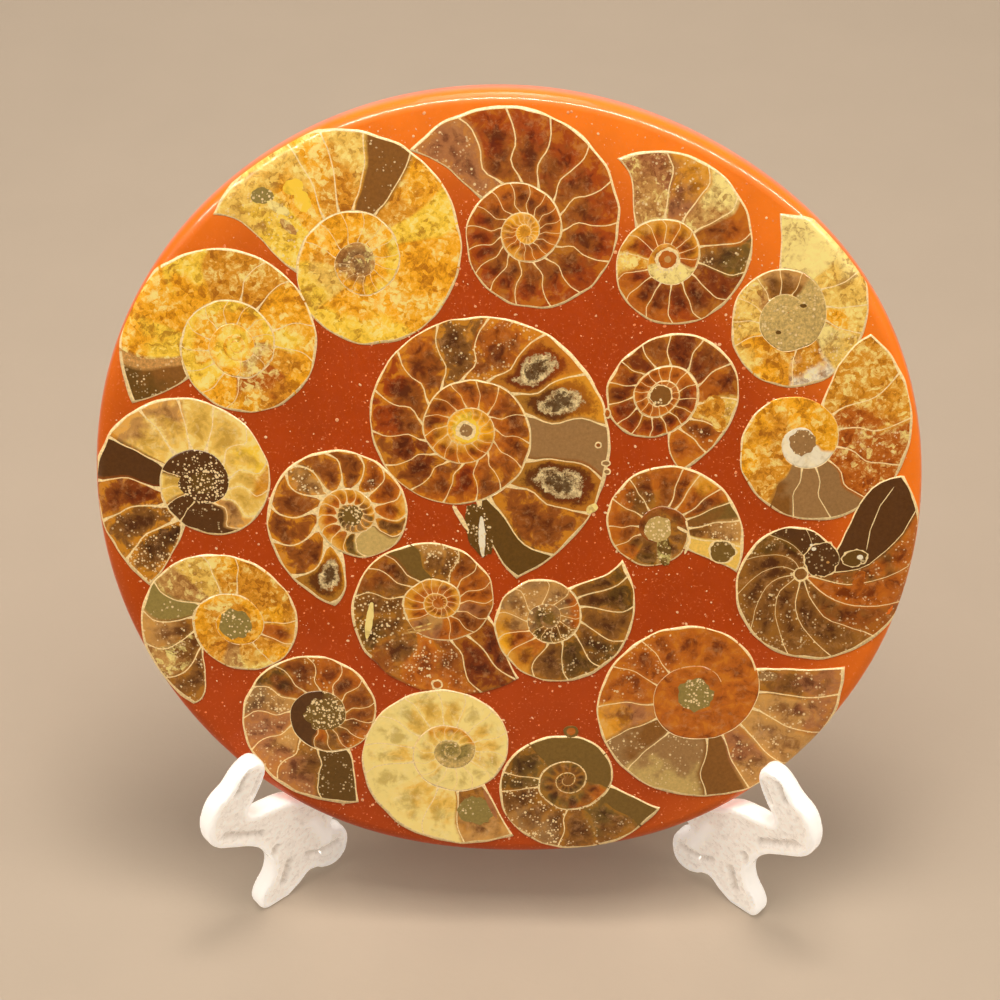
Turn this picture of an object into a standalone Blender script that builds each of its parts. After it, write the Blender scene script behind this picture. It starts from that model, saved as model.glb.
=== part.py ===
"""A polished disc of orange resin, inlaid with nineteen ammonite slices, leaning on a clear moulded stand.

Lengths are in millimetres and angles in degrees, and MM turns a length into metres. The disc faces -Y and
leans back, the stand's two flat halves cross behind it, and the origin is on the table under the middle.
"""

import math
from collections import namedtuple

import bmesh
import bpy
from mathutils import Matrix, Vector

MM = 0.001

# The disc: a rounded, slightly square plate of cast resin.
DISC_THICKNESS = 5.0
DISC_LEAN = 20.0
DISC_CENTRE_Y = -4.7
DISC_CENTRE_Z = 70.2
RIM_ROUNDING = 2.0
# Distance from the disc's middle to its rim, every 30 degrees from the right, anticlockwise.
RIM_RADII = (60.6, 60.4, 59.4, 59.9, 60.8, 61.1, 60.6, 60.5, 60.9, 60.0, 61.6, 61.4)
RIM_STEPS = 96

# The slices: flat cuts through ammonites, set flush in pockets of the face.
SLICE_THICKNESS = 2.5
SLICE_RIM_MARGIN = 1.6
GAP = 0.3
SPIRAL_STEP = 9.0

# The stand: two flat moulded halves that slot together where they cross.
PLATE_THICKNESS = 3.4
PLATE_ROUNDING = 0.8
PLATE_ANGLE = 41.0
STAND_X = 1.1
TOE_X = 40.3
TOE_Y = -25.2
CROSSING_HEIGHT = 21.0
CROSSING_REACH = 60.0

# An ammonite: its middle on the disc, the radius and direction of its outer lip, how much the spiral grows
# in a turn, which way it grows seen from the front, how oval it is and along which direction, and how far
# its lip runs back at half its height and at its foot.
Ammonite = namedtuple("Ammonite", "x y radius tip growth turn oval oval_along lip_mid lip_foot")
AMMONITES = {
    "ammonite_gold_top_left": Ammonite(-21.6, 34.9, 22.2, 162, 2.55, 1, 0.035, 90, -3, -28),
    "ammonite_red_top": Ammonite(1.6, 39.8, 19.7, 145, 2.54, 1, 0.032, 106, 4, 1),
    "ammonite_banded_top_right": Ammonite(21.8, 36.1, 16.3, 118, 2.62, 1, 0.024, 74, 0, -19),
    "ammonite_yellow_right_rim": Ammonite(39.1, 27.8, 14.6, 97, 2.10, 1, 0.045, 93, -1, -6),
    "ammonite_gold_left_rim": Ammonite(-39.4, 22.3, 18.0, 210, 2.09, 1, 0.027, 119, -4, -6),
    "ammonite_dark_left_rim": Ammonite(-44.9, 1.3, 18.9, 244, 2.56, 1, 0.043, 126, -3, -5),
    "ammonite_largest_middle": Ammonite(-6.4, 10.1, 24.5, 288, 2.24, -1, 0.005, 77, -6, -10),
    "ammonite_red_small": Ammonite(21.6, 15.8, 12.8, 286, 2.04, -1, 0.078, 38, -5, -5),
    "ammonite_orange_right_rim": Ammonite(42.4, 9.0, 19.0, 62, 3.06, 1, 0.016, 127, -7, -6),
    "ammonite_olive_small": Ammonite(22.0, -4.9, 13.7, 330, 2.77, -1, 0.010, 105, -1, -8),
    "ammonite_fan_right_rim": Ammonite(43.4, -11.8, 21.1, 48, 3.42, 1, 0.034, 90, -7, 11),
    "ammonite_bubbled_left": Ammonite(-23.0, -3.5, 15.1, 259, 2.38, 1, 0.035, 139, -6, 3),
    "ammonite_amber_left_rim": Ammonite(-40.7, -21.3, 15.9, 243, 2.24, 1, 0.058, 148, -2, 22),
    "ammonite_bronze_low_left": Ammonite(-27.6, -36.1, 15.9, 289, 2.43, 1, 0.027, 155, -5, -15),
    "ammonite_sunken_middle": Ammonite(-10.3, -17.3, 17.3, 315, 2.45, 1, 0.035, 179, -8, -30),
    "ammonite_olive_middle": Ammonite(6.1, -19.6, 14.5, 42, 2.63, 1, 0.012, 106, -1, -18),
    "ammonite_cream_bottom": Ammonite(-8.3, -42.1, 17.6, 304, 2.35, 1, 0.028, 2, -2, -9),
    "ammonite_green_bottom": Ammonite(9.7, -46.8, 14.7, 343, 2.36, 1, 0.050, 16, -2, -12),
    "ammonite_amber_low_right": Ammonite(28.6, -31.9, 22.3, 13, 2.32, 1, 0.033, 30, -3, -13),
}
SLICE_COLOURS = {
    "ammonite_gold_top_left": (0.72, 0.45, 0.09),
    "ammonite_red_top": (0.32, 0.10, 0.04),
    "ammonite_banded_top_right": (0.50, 0.26, 0.09),
    "ammonite_yellow_right_rim": (0.75, 0.55, 0.20),
    "ammonite_gold_left_rim": (0.72, 0.45, 0.09),
    "ammonite_dark_left_rim": (0.45, 0.32, 0.12),
    "ammonite_largest_middle": (0.42, 0.22, 0.07),
    "ammonite_red_small": (0.30, 0.12, 0.06),
    "ammonite_orange_right_rim": (0.66, 0.33, 0.06),
    "ammonite_olive_small": (0.42, 0.28, 0.08),
    "ammonite_fan_right_rim": (0.26, 0.15, 0.07),
    "ammonite_bubbled_left": (0.36, 0.20, 0.07),
    "ammonite_amber_left_rim": (0.56, 0.33, 0.10),
    "ammonite_bronze_low_left": (0.38, 0.20, 0.08),
    "ammonite_sunken_middle": (0.24, 0.13, 0.06),
    "ammonite_olive_middle": (0.34, 0.24, 0.08),
    "ammonite_cream_bottom": (0.78, 0.66, 0.36),
    "ammonite_green_bottom": (0.27, 0.22, 0.09),
    "ammonite_amber_low_right": (0.52, 0.24, 0.06),
}

# One half of the stand, seen from the front: along the plate from its toe, and up from the table. Round
# points are smooth, and the others are corners.
ROUND, CORNER = True, False
STAND_OUTLINE = (
    (1.2, 0.0, CORNER),  # the toe
    (5.4, 0.0, CORNER),
    (7.9, 1.4, ROUND),
    (9.9, 2.8, ROUND),
    (13.2, 1.0, ROUND),  # the lug beside the toe, just off the table
    (16.0, 1.3, ROUND),
    (17.5, 4.0, ROUND),
    (17.1, 7.6, ROUND),
    (14.9, 9.4, ROUND),
    (14.6, 11.4, ROUND),  # the underside of the bridge to the back leg
    (19.0, 13.4, ROUND),
    (32.0, 12.6, ROUND),
    (50.0, 9.8, ROUND),
    (65.0, 6.4, ROUND),
    (71.4, 1.5, ROUND),
    (73.6, 0.0, CORNER),  # the back foot
    (82.4, 0.0, CORNER),
    (84.2, 1.2, ROUND),
    (84.2, 3.6, ROUND),
    (80.0, 9.2, ROUND),
    (65.0, 19.4, ROUND),
    (52.5, 34.0, ROUND),
    (43.0, 49.5, ROUND),
    (39.4, 58.4, ROUND),  # the end of the back arm
    (36.4, 60.2, ROUND),
    (34.2, 57.0, CORNER),
    (13.9, 20.4, CORNER),  # the foot of the back arm, behind the disc
    (12.9, 18.9, ROUND),
    (11.2, 18.7, ROUND),
    (9.2, 19.9, ROUND),  # the seat
    (7.0, 21.5, ROUND),
    (3.0, 22.5, ROUND),
    (0.4, 23.0, ROUND),
    (-0.7, 24.3, ROUND),
    (0.9, 27.1, ROUND),  # the finger in front of the disc
    (2.6, 30.2, ROUND),
    (3.0, 32.2, ROUND),
    (2.2, 33.8, ROUND),
    (0.6, 34.2, ROUND),
    (-1.4, 33.4, ROUND),
    (-3.7, 31.1, ROUND),
    (-6.1, 29.6, ROUND),
    (-7.6, 27.0, ROUND),
    (-8.1, 23.9, ROUND),  # the nose
    (-7.3, 21.2, ROUND),
    (-4.6, 19.0, ROUND),
    (-1.4, 16.9, ROUND),
    (0.6, 15.0, ROUND),
    (2.0, 12.4, ROUND),
    (2.9, 9.6, ROUND),
    (2.2, 6.2, ROUND),
    (0.6, 3.9, ROUND),
    (0.0, 1.8, ROUND),
    (0.4, 0.5, ROUND),
)


def rim_radius(angle):
    """The disc's radius in a direction, on a smooth curve through RIM_RADII."""
    count = len(RIM_RADII)
    place = angle % 360.0 / 360.0 * count
    first = int(place) % count
    before, start, end, after = (RIM_RADII[(first + i) % count] for i in (-1, 0, 1, 2))
    t = place - int(place)
    slope_start, slope_end = (end - before) / 2, (after - start) / 2
    drop = start - end
    return start + t * slope_start + t * t * (-3 * drop - 2 * slope_start - slope_end) + t**3 * (
        2 * drop + slope_start + slope_end
    )


def inside_rim(x, y, margin):
    """A point on the face, drawn in to stay margin inside the rim."""
    angle = math.atan2(y, x)
    reach = min(math.hypot(x, y), rim_radius(math.degrees(angle)) - margin)
    return Vector((reach * math.cos(angle), reach * math.sin(angle)))


def spiral_point(ammonite, back, share=1.0):
    """A point of the whorl, back degrees before the lip: share 1 is its outer wall, and 0 its inner wall."""
    angle = math.radians(ammonite.tip - ammonite.turn * back)
    stretch = 1 + ammonite.oval * math.cos(2 * (angle - math.radians(ammonite.oval_along)))
    outer = ammonite.radius * ammonite.growth ** (-back / 360.0) * stretch
    radius = outer * (share + (1 - share) / ammonite.growth)
    return Vector((ammonite.x + radius * math.cos(angle), ammonite.y + radius * math.sin(angle)))


def slice_outline(ammonite, margin):
    """The slice's outline: one turn of the outer wall, and the lip from its foot back to its tip."""
    turn = 360.0 + ammonite.lip_foot
    count = round(turn / SPIRAL_STEP)
    points = [spiral_point(ammonite, turn * i / count) for i in range(count)]
    for share in (0.0, 0.33, 0.67):
        bow = ammonite.lip_mid - ammonite.lip_foot / 2
        back = ammonite.lip_foot * (1 - share) + 4 * bow * share * (1 - share)
        points.append(spiral_point(ammonite, back, share))
    return [inside_rim(point.x, point.y, margin) for point in points]


def grown(points, amount):
    """A closed outline with each side moved outward by amount."""
    area = sum(a.cross(b) for a, b in zip(points, points[1:] + points[:1]))
    side = 1 if area > 0 else -1
    moved = []
    for before, point, after in zip(points[-1:] + points[:-1], points, points[1:] + points[:1]):
        into, out = (point - before).normalized(), (after - point).normalized()
        along = (into + out).normalized()
        reach = amount / max(along.dot(out), 0.5)
        moved.append(point + Vector((along.y, -along.x)) * reach * side)
    return moved


def disc_frame():
    """The disc's own frame: X to the right, Y up the face, Z out of the face."""
    middle = Vector((0, DISC_CENTRE_Y, DISC_CENTRE_Z)) * MM
    return Matrix.Translation(middle) @ Matrix.Rotation(math.radians(90 - DISC_LEAN), 4, "X")


def plate_frame():
    """The left half's frame: X along the plate from its toe, Y up, and Z out of its front."""
    toe = Vector((STAND_X - TOE_X, TOE_Y, 0)) * MM
    turn = Matrix.Rotation(math.radians(PLATE_ANGLE), 4, "Z")
    return Matrix.Translation(toe) @ turn @ Matrix.Rotation(math.radians(90), 4, "X")


def make_collection(name):
    collection = bpy.data.collections.new(name)
    bpy.context.scene.collection.children.link(collection)
    return collection


def make_material(name, colour, roughness, alpha=1.0, transmission=0.0):
    material = bpy.data.materials.new(name)
    material.use_nodes = True
    shader = material.node_tree.nodes["Principled BSDF"]
    shader.inputs["Base Color"].default_value = (*colour, 1.0)
    shader.inputs["Roughness"].default_value = roughness
    shader.inputs["Metallic"].default_value = 0.0
    shader.inputs["Alpha"].default_value = alpha
    shader.inputs["Transmission Weight"].default_value = transmission
    return material


def slab(name, collection, frame, outline, low, high, smooth_points=None):
    """A flat outline made solid between two heights of its frame."""
    curve = bpy.data.curves.new(name, "CURVE")
    curve.dimensions = "2D"
    curve.fill_mode = "BOTH"
    curve.resolution_u = 3
    curve.extrude = (high - low) / 2 * MM
    if smooth_points:
        spline = curve.splines.new("BEZIER")
        spline.bezier_points.add(len(outline) - 1)
        for place, (x, y), is_round in zip(spline.bezier_points, outline, smooth_points):
            place.co = Vector((x, y, 0)) * MM
            place.handle_left_type = place.handle_right_type = "AUTO" if is_round else "VECTOR"
    else:
        spline = curve.splines.new("POLY")
        spline.points.add(len(outline) - 1)
        for place, (x, y) in zip(spline.points, outline):
            place.co = (x * MM, y * MM, 0, 1)
    spline.use_cyclic_u = True
    flat = bpy.data.objects.new(name + "_curve", curve)
    flat.matrix_world = frame @ Matrix.Translation((0, 0, (low + high) / 2 * MM))
    collection.objects.link(flat)
    bpy.context.view_layer.update()
    mesh = bpy.data.meshes.new_from_object(flat.evaluated_get(bpy.context.evaluated_depsgraph_get()))
    mesh.name = name
    solid = bpy.data.objects.new(name, mesh)
    solid.matrix_world = flat.matrix_world
    collection.objects.link(solid)
    bpy.data.objects.remove(flat)
    weld(mesh)
    return solid


def weld(mesh):
    """Joins a curve's loose caps to its sides, turns its faces outward and makes each cap one flat face."""
    work = bmesh.new()
    work.from_mesh(mesh)
    bmesh.ops.remove_doubles(work, verts=work.verts, dist=1e-6)
    bmesh.ops.recalc_face_normals(work, faces=work.faces)
    inner = [edge for edge in work.edges if all(abs(face.normal.z) > 0.99 for face in edge.link_faces)]
    bmesh.ops.dissolve_edges(work, edges=inner)
    work.to_mesh(mesh)
    work.free()


def as_cutter(obj):
    obj.hide_render = True
    obj.display_type = "WIRE"
    return obj


def cut(obj, cutter):
    modifier = obj.modifiers.new("cut_" + cutter.name, "BOOLEAN")
    modifier.operation = "DIFFERENCE"
    modifier.solver = "EXACT"
    modifier.object = cutter


def round_edges(obj, width, segments):
    modifier = obj.modifiers.new("rounded_edges", "BEVEL")
    modifier.width = width * MM
    modifier.segments = segments
    modifier.limit_method = "ANGLE"
    modifier.angle_limit = math.radians(60)
    modifier.use_clamp_overlap = False


def finish(obj, material):
    obj.data.materials.clear()
    obj.data.materials.append(material)
    obj.data.shade_smooth()
    obj.data.set_sharp_from_angle(angle=math.radians(35))


def make_slices(parts, cutters, frame):
    """Each slice as its own solid, and the cutters of their pockets."""
    pockets = {}
    for name, ammonite in AMMONITES.items():
        outline = slice_outline(ammonite, SLICE_RIM_MARGIN)
        piece = slab(name, parts, frame, outline, -SLICE_THICKNESS, 0.0)
        for other, pocket in pockets.items():
            neighbour = AMMONITES[other]
            apart = math.hypot(ammonite.x - neighbour.x, ammonite.y - neighbour.y)
            if apart < ammonite.radius + neighbour.radius + GAP:
                cut(piece, pocket)
        finish(piece, make_material(name, SLICE_COLOURS[name], 0.18))
        wide = grown(outline, GAP)
        low, high = -SLICE_THICKNESS - GAP, 2.0
        pockets[name] = as_cutter(slab("pocket_" + name, cutters, frame, wide, low, high))
    return pockets


def make_disc(parts, pockets, frame):
    angles = [360.0 * i / RIM_STEPS for i in range(RIM_STEPS)]
    rim = [Vector((math.cos(math.radians(a)), math.sin(math.radians(a)))) * rim_radius(a) for a in angles]
    disc = slab("resin_disc", parts, frame, rim, -DISC_THICKNESS, 0.0)
    round_edges(disc, RIM_ROUNDING, 3)
    for pocket in pockets.values():
        cut(disc, pocket)
    finish(disc, make_material("orange_resin", (0.55, 0.10, 0.02), 0.12))


def make_stand(parts, cutters):
    """Two mirrored halves. One is slotted from above and the other from below, where they cross."""
    clear = make_material("clear_plastic", (0.85, 0.84, 0.86), 0.25, alpha=0.75, transmission=0.5)
    outline = [(along, up) for along, up, _ in STAND_OUTLINE]
    smooth = [is_round for _, _, is_round in STAND_OUTLINE]
    half = PLATE_THICKNESS / 2
    left_frame = plate_frame()
    mirror = Matrix.Translation((2 * STAND_X * MM, 0, 0)) @ Matrix.Scale(-1, 4, (1, 0, 0))
    flip = Matrix.Scale(-1, 4, (0, 0, 1))
    frames = {"left": left_frame, "right": mirror @ left_frame @ flip}
    lap = GAP / 2
    slots = {"left": (CROSSING_HEIGHT - lap, CROSSING_REACH), "right": (-CROSSING_REACH, CROSSING_HEIGHT + lap)}
    halves = {}
    for side, frame in frames.items():
        halves[side] = slab("stand_" + side + "_half", parts, frame, outline, -half, half, smooth)
        round_edges(halves[side], PLATE_ROUNDING, 2)
        finish(halves[side], clear)
    for side, other in (("left", "right"), ("right", "left")):
        low, high = slots[side]
        left, right = -CROSSING_REACH, 2 * CROSSING_REACH
        box = ((left, low), (right, low), (right, high), (left, high))
        slot = slab("slot_" + side, cutters, frames[other], box, -half - GAP, half + GAP)
        cut(halves[side], as_cutter(slot))


def main():
    for obj in list(bpy.data.objects):
        bpy.data.objects.remove(obj)
    parts = make_collection("ammonite_fossil_disc")
    cutters = make_collection("cutters")
    frame = disc_frame()
    pockets = make_slices(parts, cutters, frame)
    make_disc(parts, pockets, frame)
    make_stand(parts, cutters)


main()
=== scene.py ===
"""A polished disc of orange resin inlaid with nineteen sliced ammonites, leaning on a clear moulded stand.

Lengths are in millimetres and angles in degrees until MM turns them into metres. The disc has its own frame:
X to the right, Y up its face, Z out of its face, with the middle of the face at the origin.
"""

import math
import random
from collections import namedtuple

import bmesh
import bpy
from mathutils import Matrix, Vector, kdtree, noise


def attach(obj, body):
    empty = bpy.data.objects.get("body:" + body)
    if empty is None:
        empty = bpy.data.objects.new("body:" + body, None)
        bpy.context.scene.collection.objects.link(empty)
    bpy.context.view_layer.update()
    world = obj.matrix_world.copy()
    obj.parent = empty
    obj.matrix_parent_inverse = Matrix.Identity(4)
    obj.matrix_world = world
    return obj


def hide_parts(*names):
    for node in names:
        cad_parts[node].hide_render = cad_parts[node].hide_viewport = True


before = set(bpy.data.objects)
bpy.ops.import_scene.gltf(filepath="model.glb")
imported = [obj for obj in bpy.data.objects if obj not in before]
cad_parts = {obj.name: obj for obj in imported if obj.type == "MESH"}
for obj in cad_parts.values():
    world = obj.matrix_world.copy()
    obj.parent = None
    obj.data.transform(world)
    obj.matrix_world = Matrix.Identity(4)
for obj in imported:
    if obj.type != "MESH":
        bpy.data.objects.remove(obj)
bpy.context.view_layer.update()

bl_info = {
    "name": "Ammonite Disc",
    "version": (1, 0, 0),
    "blender": (4, 5, 0),
    "location": "3D View > Sidebar > Fossils",
    "description": "Builds a resin disc inlaid with ammonite slices, and the clear stand that holds it",
    "category": "Object",
}

MM = 0.001
BODY = "root"

# The disc, as the frame holds it.
DISC_THICKNESS = 5.0
DISC_LEAN = 20.0
DISC_CENTRE = (0.0, -4.7, 70.2)
RIM_ROUNDING = 2.0
RIM_ROUNDING_STEPS = 8
# Distance from the disc's middle to its rim, every 30 degrees from the right, anticlockwise.
RIM_RADII = (60.6, 60.4, 59.4, 59.9, 60.8, 61.1, 60.6, 60.5, 60.9, 60.0, 61.6, 61.4)
RIM_STEPS = 240
LEVEL_WITHIN = 0.01

# The slices. Each stands a little prouder than the one before it, so that two that touch never share a plane.
SLICE_DEPTH = 0.9
SLICE_PROUD = 0.03
SLICE_STACK = 0.008
# How much prouder a slice may stand over the disc's rounded edge, and how far it stays from the disc's outline.
RIM_PROUD = 0.22
SLICE_RIM_GAP = 0.35
# The spiral ends at this radius, under a hub; each hub or patch stands a step above the one before it.
LAST_RADIUS = 0.75
HUB_STEP = 0.003
# Past a slice's "deep", the chambers' feet reach in to this share of the radius, over this many degrees.
DEEP_FOOT = 0.07
DEEP_RUN = 26
# The grid of a slice: rows between two walls, and columns of about this width.
FOOT_ROWS = 10
CELL_WIDTH = 0.7
FEWEST_CELLS, MOST_CELLS = 3, 12
# The walls: width at the lip, how unevenly it is worn and over how many degrees, how it shrinks inwards as a power
# of the whorl's height, and the share of it that lies inside the next whorl.
WALL_WIDTH = 0.38
WALL_CRUMBLE = 0.9
WALL_WEAR_RUN = 14
WALL_TAPER = 0.6
WALL_INNER_SHARE = 0.25
# The septa: width at the lip, how it shrinks inwards, how far they wander in degrees, the spacing that their leans are
# given for and how much those may grow with wider spacing, and the least chamber between two of them in degrees.
SEPTUM_WIDTH = 0.19
SEPTUM_TAPER = 0.7
SEPTUM_WANDER = 1.2
USUAL_SPACING = 24
MOST_STRETCH = 1.6
LEAST_CHAMBER = 0.3
# The fillets at a septum's two ends: width, the outer one's share of it, and reach as a share of the whorl's height,
# narrow or wide by the slice's flare.
FILLET_SHARE = 0.6
OUTER_FILLET = 0.7
FILLET_REACH = (0.07, 0.11)
# How strongly a chamber glows along its edges: per flare, at most, and in a bright chamber.
GLOW_SHARE = 0.45
MOST_GLOW = 0.65
BRIGHT_GLOW = 0.8
# How deep a chamber looks all over where its walls are lost.
LOST_CORE = 0.4
# Small wanders of the whole drawing, and the change of shade from chamber to chamber.
WARP = 0.22
WARP_SIZE = 3.0
SHADE_SWING = 0.1
# The sides of a patch of stone, and how ragged it is.
PATCH_SIDES = 28
PATCH_RAGGED = 0.14

# The crumbs in the resin: how many, how far they lie from a slice and how large they are.
DUST_SEED = 7
DUST_COUNT = 1500
DUST_REACH = 1.7
DUST_SIZE = 0.06
DUST_SPREAD = 0.07
DUST_LARGEST = 0.32
DUST_HEIGHT = 0.01
DUST_THICKNESS = 0.04

# The stand: two flat plates that cross, mirrored about x = STAND_X. Places on a plate are (along it from its toe,
# height).
PLATE_THICKNESS = 3.4
PLATE_ROUNDING = 0.8
PLATE_ANGLE = 41.0
STAND_X = 1.1
TOE_X = 40.3
TOE_Y = -25.2
# Its remeshing: corners merged, faces taken as flat, the new faces' size and the spacing of marks along the outline.
MERGE_DISTANCE = 0.001
FLAT_WITHIN = 0.5
STAND_VOXEL = 0.3
EDGE_STEP = 0.25
# The outermost layer of the remeshed plate, which the moulding moves.
FACE_LAYER = 0.12
# Between its bead and its web a plate slopes over this width; the web is pebbled.
BEAD_SLOPE = 0.7
PEBBLE_SIZE = 0.9
PEBBLE_DEPTH = 0.09
# How clear the plastic looks in the web, how much the pebbles change it per millimetre, and in a groove.
WEB_CLEAR = 0.45
PEBBLE_CLEAR = 5
GROOVE_CLEAR = 0.55
# Grooves pressed into both faces of a plate: from, to, half width, depth.
GROOVES = (
    ((-4.4, 31.5), (-2.3, 34.6), 0.75, 0.55),
    ((-2.5, 29.6), (-0.1, 34.0), 0.75, 0.6),
    ((0.3, 27.8), (2.1, 31.0), 0.8, 0.6),
    ((-7.4, 28.8), (-6.7, 31.0), 0.7, 0.4),
    ((1.2, 24.2), (6.4, 22.9), 1.1, 0.7),
    ((-5.1, 22.4), (1.0, 18.3), 1.1, 0.6),
    ((3.7, 13.0), (1.6, 7.8), 1.0, 0.6),
    ((6.0, 7.8), (4.6, 3.8), 1.1, 0.6),
    ((1.9, 5.9), (0.7, 3.4), 0.9, 0.5),
    ((9.6, 7.0), (12.0, 5.6), 0.9, 0.6),
    ((12.0, 5.6), (15.6, 5.6), 0.9, 0.6),
)
# A raised patch of the web, level with the bead: from, to, half width.
BOSS = ((11.0, 13.9), (13.5, 7.6), 1.7)

# In the tables below, END stands for all the way in to the spiral's middle.
END = 9999

# An ammonite: its middle on the disc, the radius and direction of its outer lip, how much the spiral grows in
# a turn, which way it grows seen from the front, how oval it is and along which direction, and how far its lip
# runs back at half its height and at its foot. Past deep, the chambers reach down to the middle.
Spiral = namedtuple("Spiral", "x y radius tip growth turn oval oval_along lip_mid lip_foot deep", defaults=(None,))
# What is inside: how far back from the lip each septum stands at half height (negative if it has broken away),
# the spacing further in, the septa's outline as (up to this far back, how far back they lean at the foot, a
# quarter, half, three quarters and the top), and the fillings as (up to this far back, code).
Inside = namedtuple("Inside", "septa spacing outlines fillings flare hub", defaults=((),))

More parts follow.
